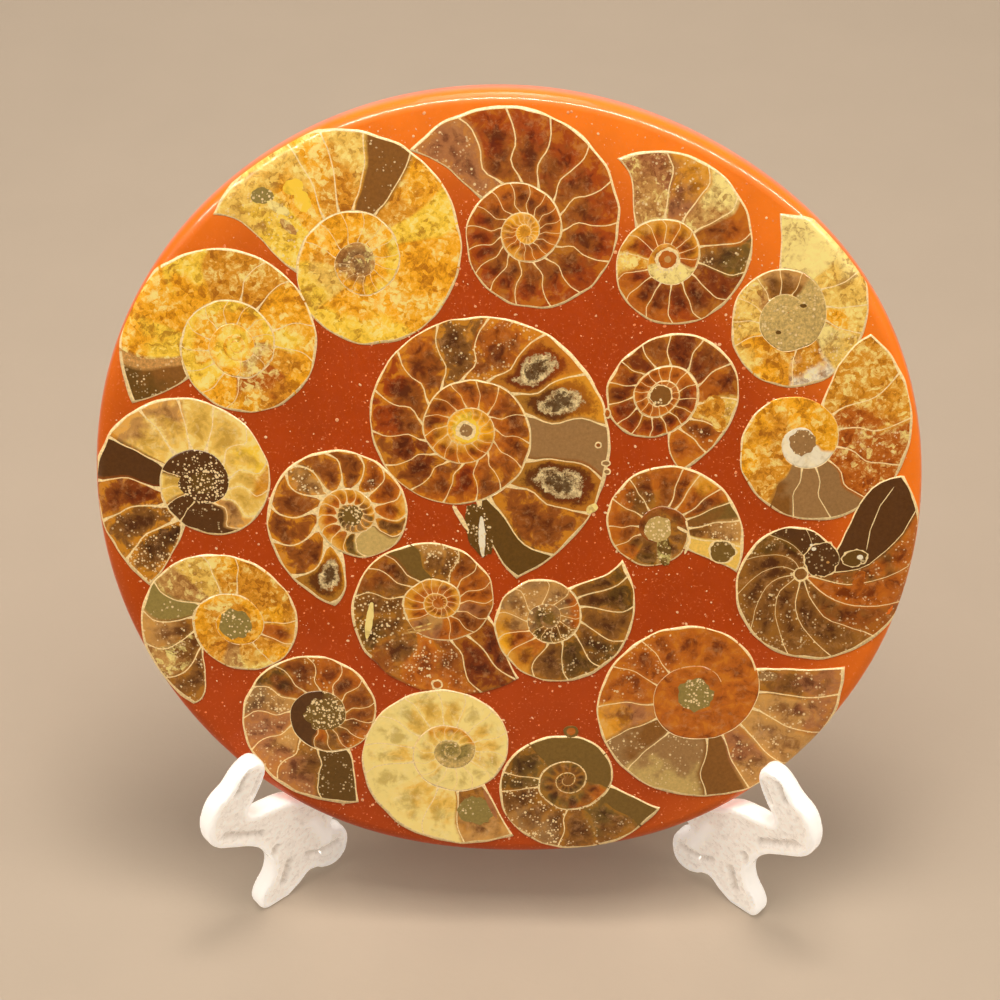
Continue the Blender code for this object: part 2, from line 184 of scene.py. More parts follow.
# A filling's code is the stone near the outer wall, the stone near the inner wall, and marks: ~ crystalline,
# + pale crystals (++ more), ^ a hollow lined with crystals, drawn flat with painted shade in its middle,
# = an even filling, ! glowing along its edges, * walls lost in the stone, : both walls lost but not the septa,
# - inner wall lost.
# The flare is how thick the septa's feet are; the hub is (radius, code) of discs of stone over the middle, where
# the code # is shell.
AMMONITES = {
    "ammonite_gold_top_left": (
        Spiral(-21.6, 34.9, 22.2, 162, 2.55, 1, 0.035, 90, -3, -28),
        Inside(
            (-20, 42, 57, 74, 97, -118, -140, -165, -190, -215, -240, -265, -290, -315, -340),
            24,
            ((END, (-10, -3, 0, 0.5, -1)),),
            ((20, "cy~+"), (42, "cg~"), (57, "gh~"), (74, "ch~"), (97, "bb=+"), (118, "gh~"), (140, "yy~"),
             (215, "gg~"), (290, "yg~"), (340, "yc~"), (360, "gh~"), (480, "gg~"), (600, "yg~"), (690, "gt~+"),
             (END, "tm~+*")),
            0.5,
        ),
    ),
    "ammonite_red_top": (
        Spiral(1.6, 39.8, 19.7, 145, 2.54, 1, 0.032, 106, 4, 1),
        Inside(
            (27, 48, 69, 92, 115, 140, 167, 195, 217, 243, 265, 286, 308, 331, 355),
            22,
            ((END, (3, -5, -1, 0, -2.5)),),
            ((27, "vv+"), (360, "ra"), (480, "oa"), (600, "oa"), (720, "ho"), (END, "gh")),
            0.6,
        ),
    ),
    "ammonite_banded_top_right": (
        Spiral(21.8, 36.1, 16.3, 118, 2.62, 1, 0.024, 74, 0, -19),
        Inside(
            (28, 52, 77, 102, 130, 155, 180, 204, 228, 253, 276, 305, 333, 357),
            24,
            ((END, (-6, -2, 0, 1.5, -3)),),
            ((28, "vt~+"), (52, "hv+"), (77, "wt~"), (102, "oa"), (130, "lb+"), (155, "dd"), (180, "ad"), (204, "rd"),
             (228, "od"), (253, "od"), (276, "or"), (305, "ch~+"), (333, "hr"), (357, "ho"), (470, "ho"), (500, "oo"),
             (640, "ww~+*"), (END, "ho*")),
            0.5,
            ((1.7, "#"), (1.25, "ho"), (0.5, "tt+")),
        ),
    ),
    "ammonite_yellow_right_rim": (
        Spiral(39.1, 27.8, 14.6, 97, 2.10, 1, 0.045, 93, -1, -6),
        Inside(
            (-19, -41, 62, 86, 108, -140, 179, -214, 246, 272, 298, 328),
            27,
            ((END, (-7, -2, 0, 0, 0)),),
            ((41, "ww~"), (62, "wc~"), (86, "cc~"), (108, "cg~"), (140, "cw~+"), (179, "ih~+"), (214, "gh~"),
             (246, "cg~"), (298, "cc~+"), (328, "ct~+"), (395, "tb"), (END, "ss~+*")),
            0.5,
        ),
    ),
    "ammonite_gold_left_rim": (
        Spiral(-39.4, 22.3, 18.0, 210, 2.09, 1, 0.027, 119, -4, -6),
        Inside(
            (-20, -45, -70, -95, 130, 152, -170, 187, 213, -240, -272, 300, 328),
            27,
            ((END, (-3, -1, 0, 3, 8)),),
            ((14, "eb=+"), (20, "tt~+"), (45, "gy~"), (70, "gg~"), (95, "yg~"), (152, "hh~"), (187, "gg~"),
             (213, "gy~"), (240, "gh~"), (272, "ho~"), (300, "go~"), (328, "gg~"), (360, "yy~"), (560, "yg~"),
             (650, "ht~+"), (END, "gy~*")),
            0.8,
        ),
    ),
    "ammonite_dark_left_rim": (
        Spiral(-44.9, 1.3, 18.9, 244, 2.56, 1, 0.043, 126, -3, -5),
        Inside(
            (20, 44, 67, 92, 117, 141, 165, 194, 227, 252, 279, 299, 364, 390),
            26,
            ((80, (-13, -5, 0, -2, -3)), (165, (-3, -2, 0, -1, -1)), (300, (6, -3, 0, 5, -3)),
             (END, (-3, -2, 0, -1, -1))),
            ((20, "bk++"), (44, "bb+"), (67, "ad"), (92, "kk="), (141, "tc!"), (165, "cc!"), (194, "cc!"),
             (227, "yc!"), (252, "hc!"), (279, "cc!"), (299, "tt!"), (364, "kk=+"), (390, "kk=+"), (440, "cc!"),
             (END, "kk=++*")),
            1.3,
            ((3.3, "ek=++++"), (1.7, "te=+++")),
        ),
    ),
    "ammonite_largest_middle": (
        Spiral(-6.4, 10.1, 24.5, 288, 2.24, -1, 0.005, 77, -6, -10),
        Inside(
            (6.5, 29, 55, 79, 103, 129, 156, 181, 206, 232, 258, 282, 306, 329, 353, 376, 401, 425, 452, 478,
             503, 530, 555, 584, 611, 634, 658),
            25,
            ((20, (-10, -3, 0, 5, 16)), (40, (-10, -1, 0, 4, 9)), (60, (-10, -2, 0, 0, -3)),
             (470, (10, -1, 0, -1, -4)), (END, (-8, -3, 0, 5, 9))),
            ((6.5, "ee="), (29, "aa"), (55, "ab^"), (79, "mm"), (103, "hb^"), (129, "oa^"), (156, "oa+"), (181, "bb+"),
             (206, "oa"), (258, "ra"), (306, "ad"), (329, "oa"), (353, "or"), (480, "ao"), (600, "ao"), (760, "oh"),
             (860, "hg"), (END, "gy")),
            1.2,
            ((1.9, "yy"), (1.45, "#"), (0.95, "mm+")),
        ),
    ),
    "ammonite_red_small": (
        Spiral(21.6, 15.8, 12.8, 286, 2.04, -1, 0.078, 38, -5, -5),
        Inside(
            (22, 44, 72, 101, 130, 157, 185, 212, 239, 265, 289, 310, 332, 355),
            25,
            ((END, (-8, -3, 0, 0, 0)),),
            ((22, "oo"), (44, "oa+"), (72, "ch~+"), (101, "do"), (130, "ad"), (157, "dd"), (185, "aa"), (212, "dd"),
             (239, "od"), (265, "ad"), (460, "rd"), (END, "oo")),
            0.7,
            ((1.75, "#"), (1.5, "lb=++")),
        ),
    ),
    "ammonite_orange_right_rim": (
        Spiral(42.4, 9.0, 19.0, 62, 3.06, 1, 0.016, 127, -7, -6),
        Inside(
            (25, 50, 77, 104, 131, 156, -175, -205, -235, -265, -295, -325, -355),
            -30,
            ((END, (-8, -5, 2, 0, -2)),),
            ((25, "hh~"), (50, "ho~"), (104, "oo~+"), (156, "mm"), (175, "bm="), (205, "hh~"), (300, "gh~"),
             (440, "gg~*"), (600, "ii*"), (END, "ii*")),
            0.5,
            ((1.9, "nm=++"),),
        ),
    ),
    "ammonite_olive_small": (
        Spiral(22.0, -4.9, 13.7, 330, 2.77, -1, 0.010, 105, -1, -8),
        Inside(
            (18, 37, 53, 66, 86, 101, -128, 150, 176, 208, 234, -262, -298, -322, -350),
            -30,
            ((END, (-4, -4, 0, 0, 0)),),
            ((18, "cc="), (37, "tb++"), (53, "lb="), (66, "oa"), (86, "ho"), (101, "oa"), (128, "oa"), (150, "ab-+"),
             (176, "ob-+"), (208, "oa-"), (234, "oa-"), (262, "ob-"), (298, "eb-+"), (322, "tt-~+"), (395, "bb"),
             (END, "ab*")),
            0.6,
            ((2.0, "is=+++"),),
        ),
    ),
    "ammonite_fan_right_rim": (
        Spiral(43.4, -11.8, 21.1, 48, 3.42, 1, 0.034, 90, -7, 11, 34),
        Inside(
            (34, 57, 82, 108, 138, 170, 202, 236, 272, 310, 352, 394),
            50,
            ((40, (8, 7, 0, -8, -16)), (150, (3, 6, 0, -10, -17)), (END, (16, 12, 0, -12, -20))),
            ((34, "kk="), (57, "ob+"), (82, "oo+"), (108, "ab+"), (272, "bb+"), (310, "eb+"), (352, "kk=+"),
             (END, "kk=+")),
            0.3,
            ((1.2, "#"), (0.9, "kb")),
        ),
    ),
    "ammonite_bubbled_left": (
        Spiral(-23.0, -3.5, 15.1, 259, 2.38, 1, 0.035, 139, -6, 3),
        Inside(
            (22, 49, 76, 103, 129, 156, 183, 209, 238, 265, 289, 342, 365),
            25,
            ((115, (9, 2, 0, 3, 10)), (END, (-7, -1, 0, -1, -8))),
            ((22, "bh^"), (103, "aa"), (129, "bt++"), (183, "aa"), (209, "oa+"), (238, "oo"), (265, "ho"), (289, "bb"),
             (342, "ss"), (365, "le"), (560, "ho"), (620, "hb"), (END, "lm+")),
            2.8,
            ((1.5, "tl=+++"),),
        ),
    ),
    "ammonite_amber_left_rim": (
        Spiral(-40.7, -21.3, 15.9, 243, 2.24, 1, 0.058, 148, -2, 22),
        Inside(
            (17, 41, 64, 86, -108, 132, 157, -184, -212, 240, 265, 293, -322),
            -27,
            ((100, (10, 3, 0, 2, 8)), (END, (0, 0, 0, 0, -2))),
            ((17, "bb+"), (41, "tb~+"), (64, "tb+"), (86, "nn+"), (108, "tt~"), (132, "cc~+"), (157, "gh~"),
             (184, "hh~"), (212, "hh~"), (240, "hg~"), (265, "ho"), (293, "gh~"), (322, "ch~"), (349, "tt~"),
             (376, "hh~"), (540, "gh~"), (END, "gh~*")),
            0.6,
            ((2.4, "nn=++"),),
        ),
    ),
    "ammonite_bronze_low_left": (
        Spiral(-27.6, -36.1, 15.9, 289, 2.43, 1, 0.027, 155, -5, -15),
        Inside(
            (25, 56, 84, 110, 136, 160, 190, 220, 247, 277, 300, 327, 350, 372),
            26,
            ((END, (3, -3, 0, 0, -4)),),
            ((25, "ee=+"), (56, "vb+"), (84, "vt+"), (110, "vv+"), (136, "mt++"), (160, "ea"), (190, "aa+"),
             (220, "oo+"), (247, "oa"), (300, "aa"), (350, "ob+"), (372, "bb"), (400, "bo"), (560, "kk=*"),
             (END, "lb++*")),
            0.6,
            ((2.8, "el=++++"),),
        ),
    ),
    "ammonite_sunken_middle": (
        Spiral(-10.3, -17.3, 17.3, 315, 2.45, 1, 0.035, 179, -8, -30),
        Inside(
            (4, 24, -45, -70, -95, -120, 142, 165, 181, -205, -230, 247, 270, 294, 313, 337, 360, 382, -420,
             455, 478, 500, 520, 542, 565, 590, 617, 645, 672, 700),
            26,
            ((360, (4, -3, 0, 1, -4)), (END, (-6, -3, 0, 4, 6))),
            ((24, "dd:"), (45, "oa:+"), (70, "oo:++"), (95, "ab:+"), (120, "eb++"), (142, "bb++"), (181, "ab"),
             (205, "ll="), (230, "tb++"), (247, "bb++"), (270, "ao"), (313, "oo"), (337, "av"), (360, "aa"),
             (395, "oo"), (450, "vt"), (END, "ho")),
            0.6,
        ),
    ),
    "ammonite_olive_middle": (
        Spiral(6.1, -19.6, 14.5, 42, 2.63, 1, 0.012, 106, -1, -18),
        Inside(
            (12, 33, 60, 87, 115, 145, 175, 198, 228, 266, 310, 345),
            27,
            ((END, (-12, -5, 0, 2, -1)),),
            ((33, "eb"), (60, "bb"), (87, "eb+"), (115, "ee+"), (145, "bb"), (175, "ho"), (198, "go"), (228, "ht"),
             (310, "mt+"), (345, "tm+"), (420, "om+"), (540, "lb++"), (END, "ml++*")),
            0.6,
        ),
    ),
    "ammonite_cream_bottom": (
        Spiral(-8.3, -42.1, 17.6, 304, 2.35, 1, 0.028, 2, -2, -9),
        Inside(
            (29, 53, -84, 110, 131, 155, 179, 204, 229, 257, 284, 304, 332),
            25,
            ((290, (-3, -2, 0, 0, -3)), (END, (-2, -1, 0, 4, 9))),
            ((29, "tb"), (84, "wc!"), (110, "ww!"), (131, "wc!"), (155, "ww!"), (229, "wc!"), (257, "ww!"),
             (304, "wc!"), (332, "wc!+"), (420, "ww!"), (520, "wc!"), (640, "hc!"), (END, "sn~+*")),
            0.6,
        ),
    ),
    "ammonite_green_bottom": (
        Spiral(9.7, -46.8, 14.7, 343, 2.36, 1, 0.050, 16, -2, -12),
        Inside(
            (-15, -46, 76, -100, -125, 150, 168, -205, -250, -300, -350),
            -27,
            ((END, (-3, 0, 0, 1, 2)),),
            ((15, "ll="), (46, "bl+"), (76, "bb+"), (125, "mb++"), (150, "bb++"), (168, "el+"), (205, "el+"),
             (350, "ll="), (377, "ob"), (430, "al"), (END, "lb")),
            0.5,
        ),
    ),
    "ammonite_amber_low_right": (
        Spiral(28.6, -31.9, 22.3, 13, 2.32, 1, 0.033, 30, -3, -13),
        Inside(
            (13, 32, 53, 74, 96, 141, 162, 185, 215, 241, -262, -290, -320, -350),
            -25,
            ((END, (-6, -3, 0, 0, -1)),),
            ((13, "vb+"), (32, "vt+"), (53, "tt+"), (74, "tv+"), (96, "bb="), (141, "sm+"), (162, "mb=+"), (185, "hv"),
             (241, "oo+"), (262, "oo+"), (360, "oo"), (END, "oo*")),
            0.6,
            ((2.7, "sn=++"),),
        ),
    ),
}

# Single patches of stone on a slice, as (where on the disc, half widths, turn, code).
PATCHES = {
    "ammonite_gold_top_left": (
        (-30.8, 45.8, 1.5, 1.1, 20, "yy"), (-29.6, 43.7, 1.1, 1.6, 20, "yy"), (-35.2, 44.4, 1.6, 1.2, 0, "mn=++"),
        (-33.0, 42.7, 1.8, 0.7, -30, "ww~"), (-31.6, 40.0, 1.6, 0.6, -45, "wt~+"),
    ),
    "ammonite_yellow_right_rim": ((41.3, 29.6, 0.5, 0.3, 0, "ee="), (38.0, 25.6, 0.4, 0.3, 0, "ee=")),
    "ammonite_largest_middle": (
        (-4.3, -5.6, 1.9, 4.4, 14, "be=++"), (-3.9, -6.6, 0.5, 3.0, 2, "ii++"), (-7.1, -3.6, 0.35, 2.4, 30, "#"),
        (14.0, 13.0, 0.55, 0.8, 0, "#"), (14.0, 13.0, 0.35, 0.6, 0, "ho"), (12.8, 8.1, 0.5, 0.5, 0, "#"),
        (12.8, 8.1, 0.3, 0.3, 0, "ba"), (14.0, 5.3, 0.7, 0.5, 0, "#"), (14.0, 5.3, 0.5, 0.3, 0, "mm"),
        (14.2, 4.0, 0.6, 0.5, 0, "#"), (14.2, 4.0, 0.4, 0.3, 0, "mm"), (12.2, -1.8, 0.9, 0.7, 40, "yw~"),
    ),
    "ammonite_red_small": ((29.4, 14.0, 1.6, 1.9, 0, "gh~"), (30.2, 11.6, 1.0, 1.2, 0, "wh~")),
    "ammonite_olive_small": (
        (23.0, -8.2, 1.0, 2.6, 6, "wl~++"), (31.6, -8.4, 2.1, 2.0, 0, "#"), (31.6, -8.4, 1.8, 1.7, 0, "el=+"),
        (25.65, -5.0, 0.25, 1.0, 62, "#"), (26.6, -6.2, 0.25, 1.0, 11, "#"), (26.4, -7.8, 0.22, 1.1, -18, "#"),
    ),
    "ammonite_fan_right_rim": (
        (46.4, -9.4, 2.65, 2.95, 0, "#"), (46.4, -9.4, 2.5, 2.8, 0, "kk=+"), (45.1, -7.7, 0.35, 0.28, 0, "ti"),
        (44.7, -7.1, 0.25, 0.2, 0, "ti"), (47.3, -9.8, 0.25, 0.2, 0, "it"), (51.2, -9.1, 2.1, 1.4, 10, "#"),
        (51.2, -9.1, 1.9, 1.2, 10, "ne=+"), (52.0, -8.9, 0.45, 0.4, 0, "ii"), (52.1, -12.6, 0.8, 1.5, -20, "ho"),
        (55.3, 0.8, 0.07, 1.9, -31, "#"), (53.8, -2.6, 0.07, 2.4, -17, "#"), (53.05, -6.0, 0.07, 1.7, -6, "#"),
    ),
    "ammonite_sunken_middle": (
        (-20.6, -20.3, 0.55, 2.9, -8, "ww"), (-13.6, -22.0, 2.2, 0.2, 12, "wt~"), (-13.0, -21.2, 2.0, 0.15, 18, "wt~"),
    ),
    "ammonite_cream_bottom": (
        (-4.3, -52.2, 2.8, 2.4, 0, "sn=+"), (-2.1, -51.2, 0.4, 2.6, 23, "iv"), (-10.4, -30.8, 0.9, 0.9, 0, "#"),
        (-10.4, -30.8, 0.6, 0.6, 0, "oo"),
    ),
    "ammonite_amber_low_right": ((39.5, -28.6, 1.5, 0.8, 0, "nm=++"),),
    "ammonite_green_bottom": ((10.0, -38.4, 1.1, 1.0, 0, "ll"), (10.0, -38.4, 0.7, 0.6, 0, "oo")),
}

# The stones that are mud, and the places of a slice's materials.
MUD = "mns"
SHELL, CALCITE, MUDSTONE, DRUSE = range(4)


def linear(colour):
    """An sRGB hex colour as linear red, green, blue and full alpha."""
    parts = [int(colour[at:at + 2], 16) / 255 for at in (1, 3, 5)]
    return (*[part / 12.92 if part <= 0.04045 else ((part + 0.055) / 1.055) ** 2.4 for part in parts], 1.0)


def per_mm(size):
    """The pattern scale, on coordinates in metres, that makes one feature this many millimetres across."""
    return 1 / (size * MM)


def feed(tree, made, inputs):
    """Gives a node's inputs, by name or number, a value, an output, or another node's first live output."""
    for name, value in inputs.items():
        socket = made.inputs[name] if isinstance(name, int) else next(
            socket for socket in made.inputs if socket.enabled and socket.name == name
        )
        if isinstance(value, bpy.types.Node):
            value = next(output for output in value.outputs if output.enabled)
        if isinstance(value, bpy.types.NodeSocket):
            tree.links.new(value, socket)
        else:
            socket.default_value = value


def node(tree, kind, inputs=None, **settings):
    """Adds a shader node, sets it up and feeds its inputs."""
    made = tree.nodes.new("ShaderNode" + kind)
    for name, value in settings.items():
        setattr(made, name, value)
    feed(tree, made, inputs or {})
    return made


def start_material(name):
    """A new material, its node tree, its Principled shader and the place on the object."""
    material = bpy.data.materials.new(name)
    material.use_nodes = True
    tree = material.node_tree
    return material, tree, tree.nodes["Principled BSDF"], node(tree, "TexCoord").outputs["Object"]


# Colours and sizes that a user would change.


def colour_property(name, colour, description):
    """A colour that a user can change."""
    return bpy.props.FloatVectorProperty(
        name=name, description=description, default=linear(colour), size=4, min=0, max=1, subtype="COLOR"
    )


class StoneColours(bpy.types.PropertyGroup):
    """The stones that fill the ammonites' chambers, and their shell."""

    g: colour_property("Golden calcite", "#FBB222", "Bright golden crystal")
    y: colour_property("Yellow calcite", "#FFD444", "Pale yellow crystal")
    w: colour_property("White calcite", "#FBE48E", "Cream-white crystal")
    c: colour_property("Cream calcite", "#F4C85E", "Cream-yellow crystal")
    h: colour_property("Honey calcite", "#E29A28", "Honey-coloured crystal")
    o: colour_property("Orange calcite", "#BE661A", "Orange-brown crystal")
    a: colour_property("Amber calcite", "#9C561C", "Amber-brown crystal")
    r: colour_property("Red calcite", "#A8480E", "Red-brown crystal")
    d: colour_property("Dark red calcite", "#843C10", "Dark red-brown crystal")
    k: colour_property("Smoky calcite", "#5C3918", "Very dark brown crystal")
    b: colour_property("Bronze calcite", "#8A5A24", "Bronze-brown crystal")
    t: colour_property("Tan calcite", "#C89450", "Tan crystal")
    l: colour_property("Olive calcite", "#7C5E28", "Olive crystal")
    e: colour_property("Dark olive calcite", "#6A4A1A", "Dark olive crystal")
    m: colour_property("Grey mudstone", "#A07848", "Grey-brown mudstone")
    n: colour_property("Green mudstone", "#968244", "Green-grey mudstone")
    s: colour_property("Sandstone", "#CBAC66", "Pale grey-green sandstone")
    v: colour_property("Mauve calcite", "#B07244", "Mauve-brown crystal")
    i: colour_property("Ivory calcite", "#F8EDD0", "Nearly white crystal")
    shell: colour_property("Shell", "#FBE0A4", "The cream shell walls and septa")
    shell_gold: colour_property("Stained shell", "#E4B05A", "Where the shell is stained golden")


class DiscSettings(bpy.types.PropertyGroup):
    """The cast resin disc."""

    resin: colour_property("Resin", "#B4440A", "The resin between the slices")
    # Painted light: the brighter colour the resin is painted towards its upper and right rim.
    resin_rim_painted_light: colour_property("Resin at the rim", "#FF8420", "The brighter resin by the rim")
    resin_side: colour_property("Resin on the side", "#F0947A", "The duller ground side of the disc")
    speck: colour_property("Specks", "#F08A50", "Stone dust caught in the resin")
    speck_size: bpy.props.FloatProperty(
        name="Speck spacing", description="Mean distance between specks", default=1.3 * MM, min=0.0005, unit="LENGTH"
    )


class StandSettings(bpy.types.PropertyGroup):
    """The clear moulded stand."""

    plastic: colour_property("Plastic", "#FFFDF8", "The milky clear plastic")
    plastic_thin: colour_property("Thin plastic", "#C9BFB4", "The plastic where it is pressed thin")
    bead_width: bpy.props.FloatProperty(
        name="Bead width", description="Width of the bead along each edge", default=0.6 * MM, min=0.0001, unit="LENGTH"
    )
    web_depth: bpy.props.FloatProperty(
        name="Web depth", description="How far the web lies below the bead", default=0.25 * MM, min=0, unit="LENGTH"
    )


class StageSettings(bpy.types.PropertyGroup):
    """The floor."""

    floor: colour_property("Floor", "#B9AC9D", "The plain floor")


# The disc's frame and the ammonites' spirals.


def disc_frame():
    """The matrix from the disc's own frame to the shared one."""
    centre = Vector(DISC_CENTRE) * MM
    return Matrix.Translation(centre) @ Matrix.Rotation(math.radians(90 - DISC_LEAN), 4, "X")


def smooth_step(value):
    """Eases from 0 to 1 as the value goes from 0 to 1."""
    share = min(max(value, 0.0), 1.0)
    return share * share * (3 - 2 * share)


def smooth_curve(before, here, there, after, share):
    """A smooth curve through four evenly spaced values, at a share of the way between the middle two."""
    leave = (there - before) / 2
    arrive = (after - here) / 2
    turn = here - there
    return here + share * (leave + share * (-3 * turn - 2 * leave - arrive + share * (2 * turn + leave + arrive)))


def rim_radius(angle):
    """The disc's radius in a direction, in degrees, on a smooth closed curve through RIM_RADII."""
    place = (angle % 360) / 360 * len(RIM_RADII)
    index = int(place)
    return smooth_curve(*(RIM_RADII[(index + step) % len(RIM_RADII)] for step in (-1, 0, 1, 2)), place - index)


def face_height(x, y):
    """How far the disc's rounded edge lies below its face here, as a height of zero or less."""
    inside = rim_radius(math.degrees(math.atan2(y, x))) - math.hypot(x, y)
    into = RIM_ROUNDING - max(inside, 0.0)
    if into <= 0:
        return 0.0
    return math.sqrt(max(RIM_ROUNDING ** 2 - into ** 2, 0.0)) - RIM_ROUNDING


def outer_radius(spiral, back):
    """The outer wall's distance from the spiral's middle, this far back from the lip."""
    angle = math.radians(spiral.tip - spiral.turn * back - spiral.oval_along)
    stretch = 1 + spiral.oval * math.cos(2 * angle)
    return spiral.radius * spiral.growth ** (-back / 360) * stretch


def share_radius(spiral, back, share):
    """The distance from the spiral's middle at this share of the whorl's height."""
    inner = 1 / spiral.growth
    if spiral.deep is not None:
        inner += (DEEP_FOOT - inner) * smooth_step((back - spiral.deep) / DEEP_RUN)
    return outer_radius(spiral, back) * (share + (1 - share) * inner)


def spiral_point(spiral, back, share):
    """The point on the disc this far back from the lip, at this share of the whorl's height."""
    radius = share_radius(spiral, back, share)
    angle = math.radians(spiral.tip - spiral.turn * back)
    return Vector((spiral.x + radius * math.cos(angle), spiral.y + radius * math.sin(angle), 0))


def whorl_height(spiral, back):
    """How tall the whorl is, this far back from the lip."""
    return outer_radius(spiral, back) * (1 - 1 / spiral.growth)


def last_back(spiral):
    """How far back the spiral runs before it is too small to show."""
    if spiral.deep is not None:
        return 360 + spiral.deep
    return 360 * math.log(spiral.radius / LAST_RADIUS) / math.log(spiral.growth)


def looked_up(table, back):
    """The entry of a table of (up to this far back, entry) that holds here."""
    return next(entry for limit, entry in table if back <= limit)


def along_outline(outline, share):
    """A septum's lean at a share of the whorl's height: a smooth curve through its five points."""
    last = len(outline) - 1
    place = min(max(share, 0.0), 1.0) * last
    index = min(int(place), last - 1)
    return smooth_curve(*(outline[min(max(index + step, 0), last)] for step in (-1, 0, 1, 2)), place - index)


def all_septa(spiral, inside):
    """(how far back, whether it shows) for the lip, the given septa, and those further in at even spacing."""
    septa = [(0.0, True)] + [(abs(back), back > 0) for back in inside.septa]
    end = last_back(spiral)
    while septa[-1][0] < end:
        septa.append((septa[-1][0] + abs(inside.spacing), inside.spacing > 0))
    return septa


def septum_back(spiral, inside, septa, index, share):
    """How far back a septum lies at this share of the whorl's height."""
    middle = septa[index][0]
    if index == 0:
        bulge = spiral.lip_mid - spiral.lip_foot / 2
        return spiral.lip_foot * (1 - share) + 4 * bulge * share * (1 - share)
    spacing = (septa[min(index + 1, len(septa) - 1)][0] - septa[index - 1][0]) / 2
    lean = along_outline(looked_up(inside.outlines, middle), share)
    wander = SEPTUM_WANDER * noise.noise(Vector((middle * 0.37, share * 3.0, spiral.x)))
    return middle + (lean + wander) * min(spacing / USUAL_SPACING, MOST_STRETCH)


def septum_half_width(spiral, inside, back, share):
    """Half a septum's thickness in degrees; it thickens into a fillet at both walls."""
    height = whorl_height(spiral, back)
    scale = (height / whorl_height(spiral, 0)) ** SEPTUM_TAPER
    reach = FILLET_REACH[inside.flare >= 1]
    ends = math.exp(-share / reach) + OUTER_FILLET * math.exp(-(1 - share) / reach)
    fillet = FILLET_SHARE * inside.flare * ends
    return math.degrees((SEPTUM_WIDTH + fillet) * scale / 2 / share_radius(spiral, back, share))


def slice_columns(spiral, septa):
    """The grid's columns, as (septum, share of the way to the next). A septum's own two edges are -1 and 0."""
    columns = [(0, -1.0)]
    for index in range(len(septa) - 1):
        spacing = septa[index + 1][0] - septa[index][0]
        middle = (septa[index + 1][0] + septa[index][0]) / 2
        width = math.radians(spacing) * outer_radius(spiral, middle)
        cells = min(max(round(width / CELL_WIDTH), FEWEST_CELLS), MOST_CELLS)
        columns += [(index, step / cells) for step in range(cells)]
        columns += [(index, 1.0)]
    return columns


def slice_rows():
    """The grid's rows, as (share between the walls, which wall's edge it is)."""
    inner = [(step / FOOT_ROWS, 0) for step in range(FOOT_ROWS + 1)]
    return [(0.0, -1), *inner, (1.0, 1)]


def column_back(spiral, inside, septa, column, share):
    """How far back a column of the grid lies at this share of the whorl's height."""
    index, along = column
    here = septum_back(spiral, inside, septa, index, share)
    half = septum_half_width(spiral, inside, septa[index][0], share)
    if along < 0:
        return here - (0.0 if index == 0 else half)
    half_here = 2 * half if index == 0 else half
    there = septum_back(spiral, inside, septa, index + 1, share)
    half_there = septum_half_width(spiral, inside, septa[index + 1][0], share)
    begin = here + half_here
    finish = max(there - half_there, begin + LEAST_CHAMBER)
    return begin + (finish - begin) * along


def warp(point):
    """Small wanders that keep a hand-cut fossil from looking drawn with a compass."""
    place = Vector((point.x, point.y, 0)) / WARP_SIZE
    return Vector((noise.noise(place), noise.noise(place + Vector((31.7, 11.3, 5.1))), 0)) * WARP


def paint(vert, layers, code, colours, shade, depth, glow):
    """Writes on a vertex what the materials read there: a filling's stones, depth, crystals, sparkle and glow."""
    outer_stone, inner_stone, core, crystal, sparkle, glowing = layers
    if code[0] != "#":
        vert[outer_stone] = [part * shade for part in getattr(colours, code[0])[:3]] + [1]
        vert[inner_stone] = [part * shade for part in getattr(colours, code[1])[:3]] + [1]
    vert[core] = depth
    vert[crystal] = 1.0 if "~" in code else 0.0
    vert[sparkle] = code.count("+")
    vert[glowing] = glow


def wind_ribbon(bm, spiral, inside, septa, columns, colours, layers):
    """Makes a grid and winds it along the spiral. Returns each vertex's place in the grid and on the spiral."""
    rows = slice_rows()
    bmesh.ops.create_grid(bm, x_segments=len(columns) - 1, y_segments=len(rows) - 1, size=1)
    at = {}
    spiral_place = {}
    for vert in bm.verts:
        i = round((vert.co.x + 1) / 2 * (len(columns) - 1))
        j = round((vert.co.y + 1) / 2 * (len(rows) - 1))
        at[vert] = (i, j)
        index, along = columns[i]
        rough_back = septa[index][0] + max(along, 0) * (septa[min(index + 1, len(septa) - 1)][0] - septa[index][0])
        height = whorl_height(spiral, rough_back)
        crumble = 1 + WALL_CRUMBLE * noise.noise(Vector((rough_back / WALL_WEAR_RUN, spiral.x, spiral.y)))
        wall = WALL_WIDTH * crumble * (height / whorl_height(spiral, 0)) ** WALL_TAPER / height
        low, high = WALL_INNER_SHARE * wall, 1 - wall
        between, edge = rows[j]
        share = (0.0 if edge < 0 else 1.0) if edge else low + (high - low) * between
        back = column_back(spiral, inside, septa, columns[i], share)
        # A chamber's last column stands at the next one's start, and still takes its own filling.
        code = looked_up(inside.fillings, rough_back if along < 1 else rough_back - 0.01)
        shade = 1 + SHADE_SWING * noise.noise(Vector((index * 1.7, spiral.x, spiral.y)))
        depth = LOST_CORE if "*" in code else (1 - (2 * max(along, 0) - 1) ** 2) * (1 - (2 * between - 1) ** 2)
        glow = BRIGHT_GLOW if "!" in code else min(GLOW_SHARE * inside.flare, MOST_GLOW)
        paint(vert, layers, code, colours, shade, depth, glow)
        spiral_place[vert] = (back / 360, share)
        point = spiral_point(spiral, back, share)
        vert.co = point + warp(point)
    return at, spiral_place


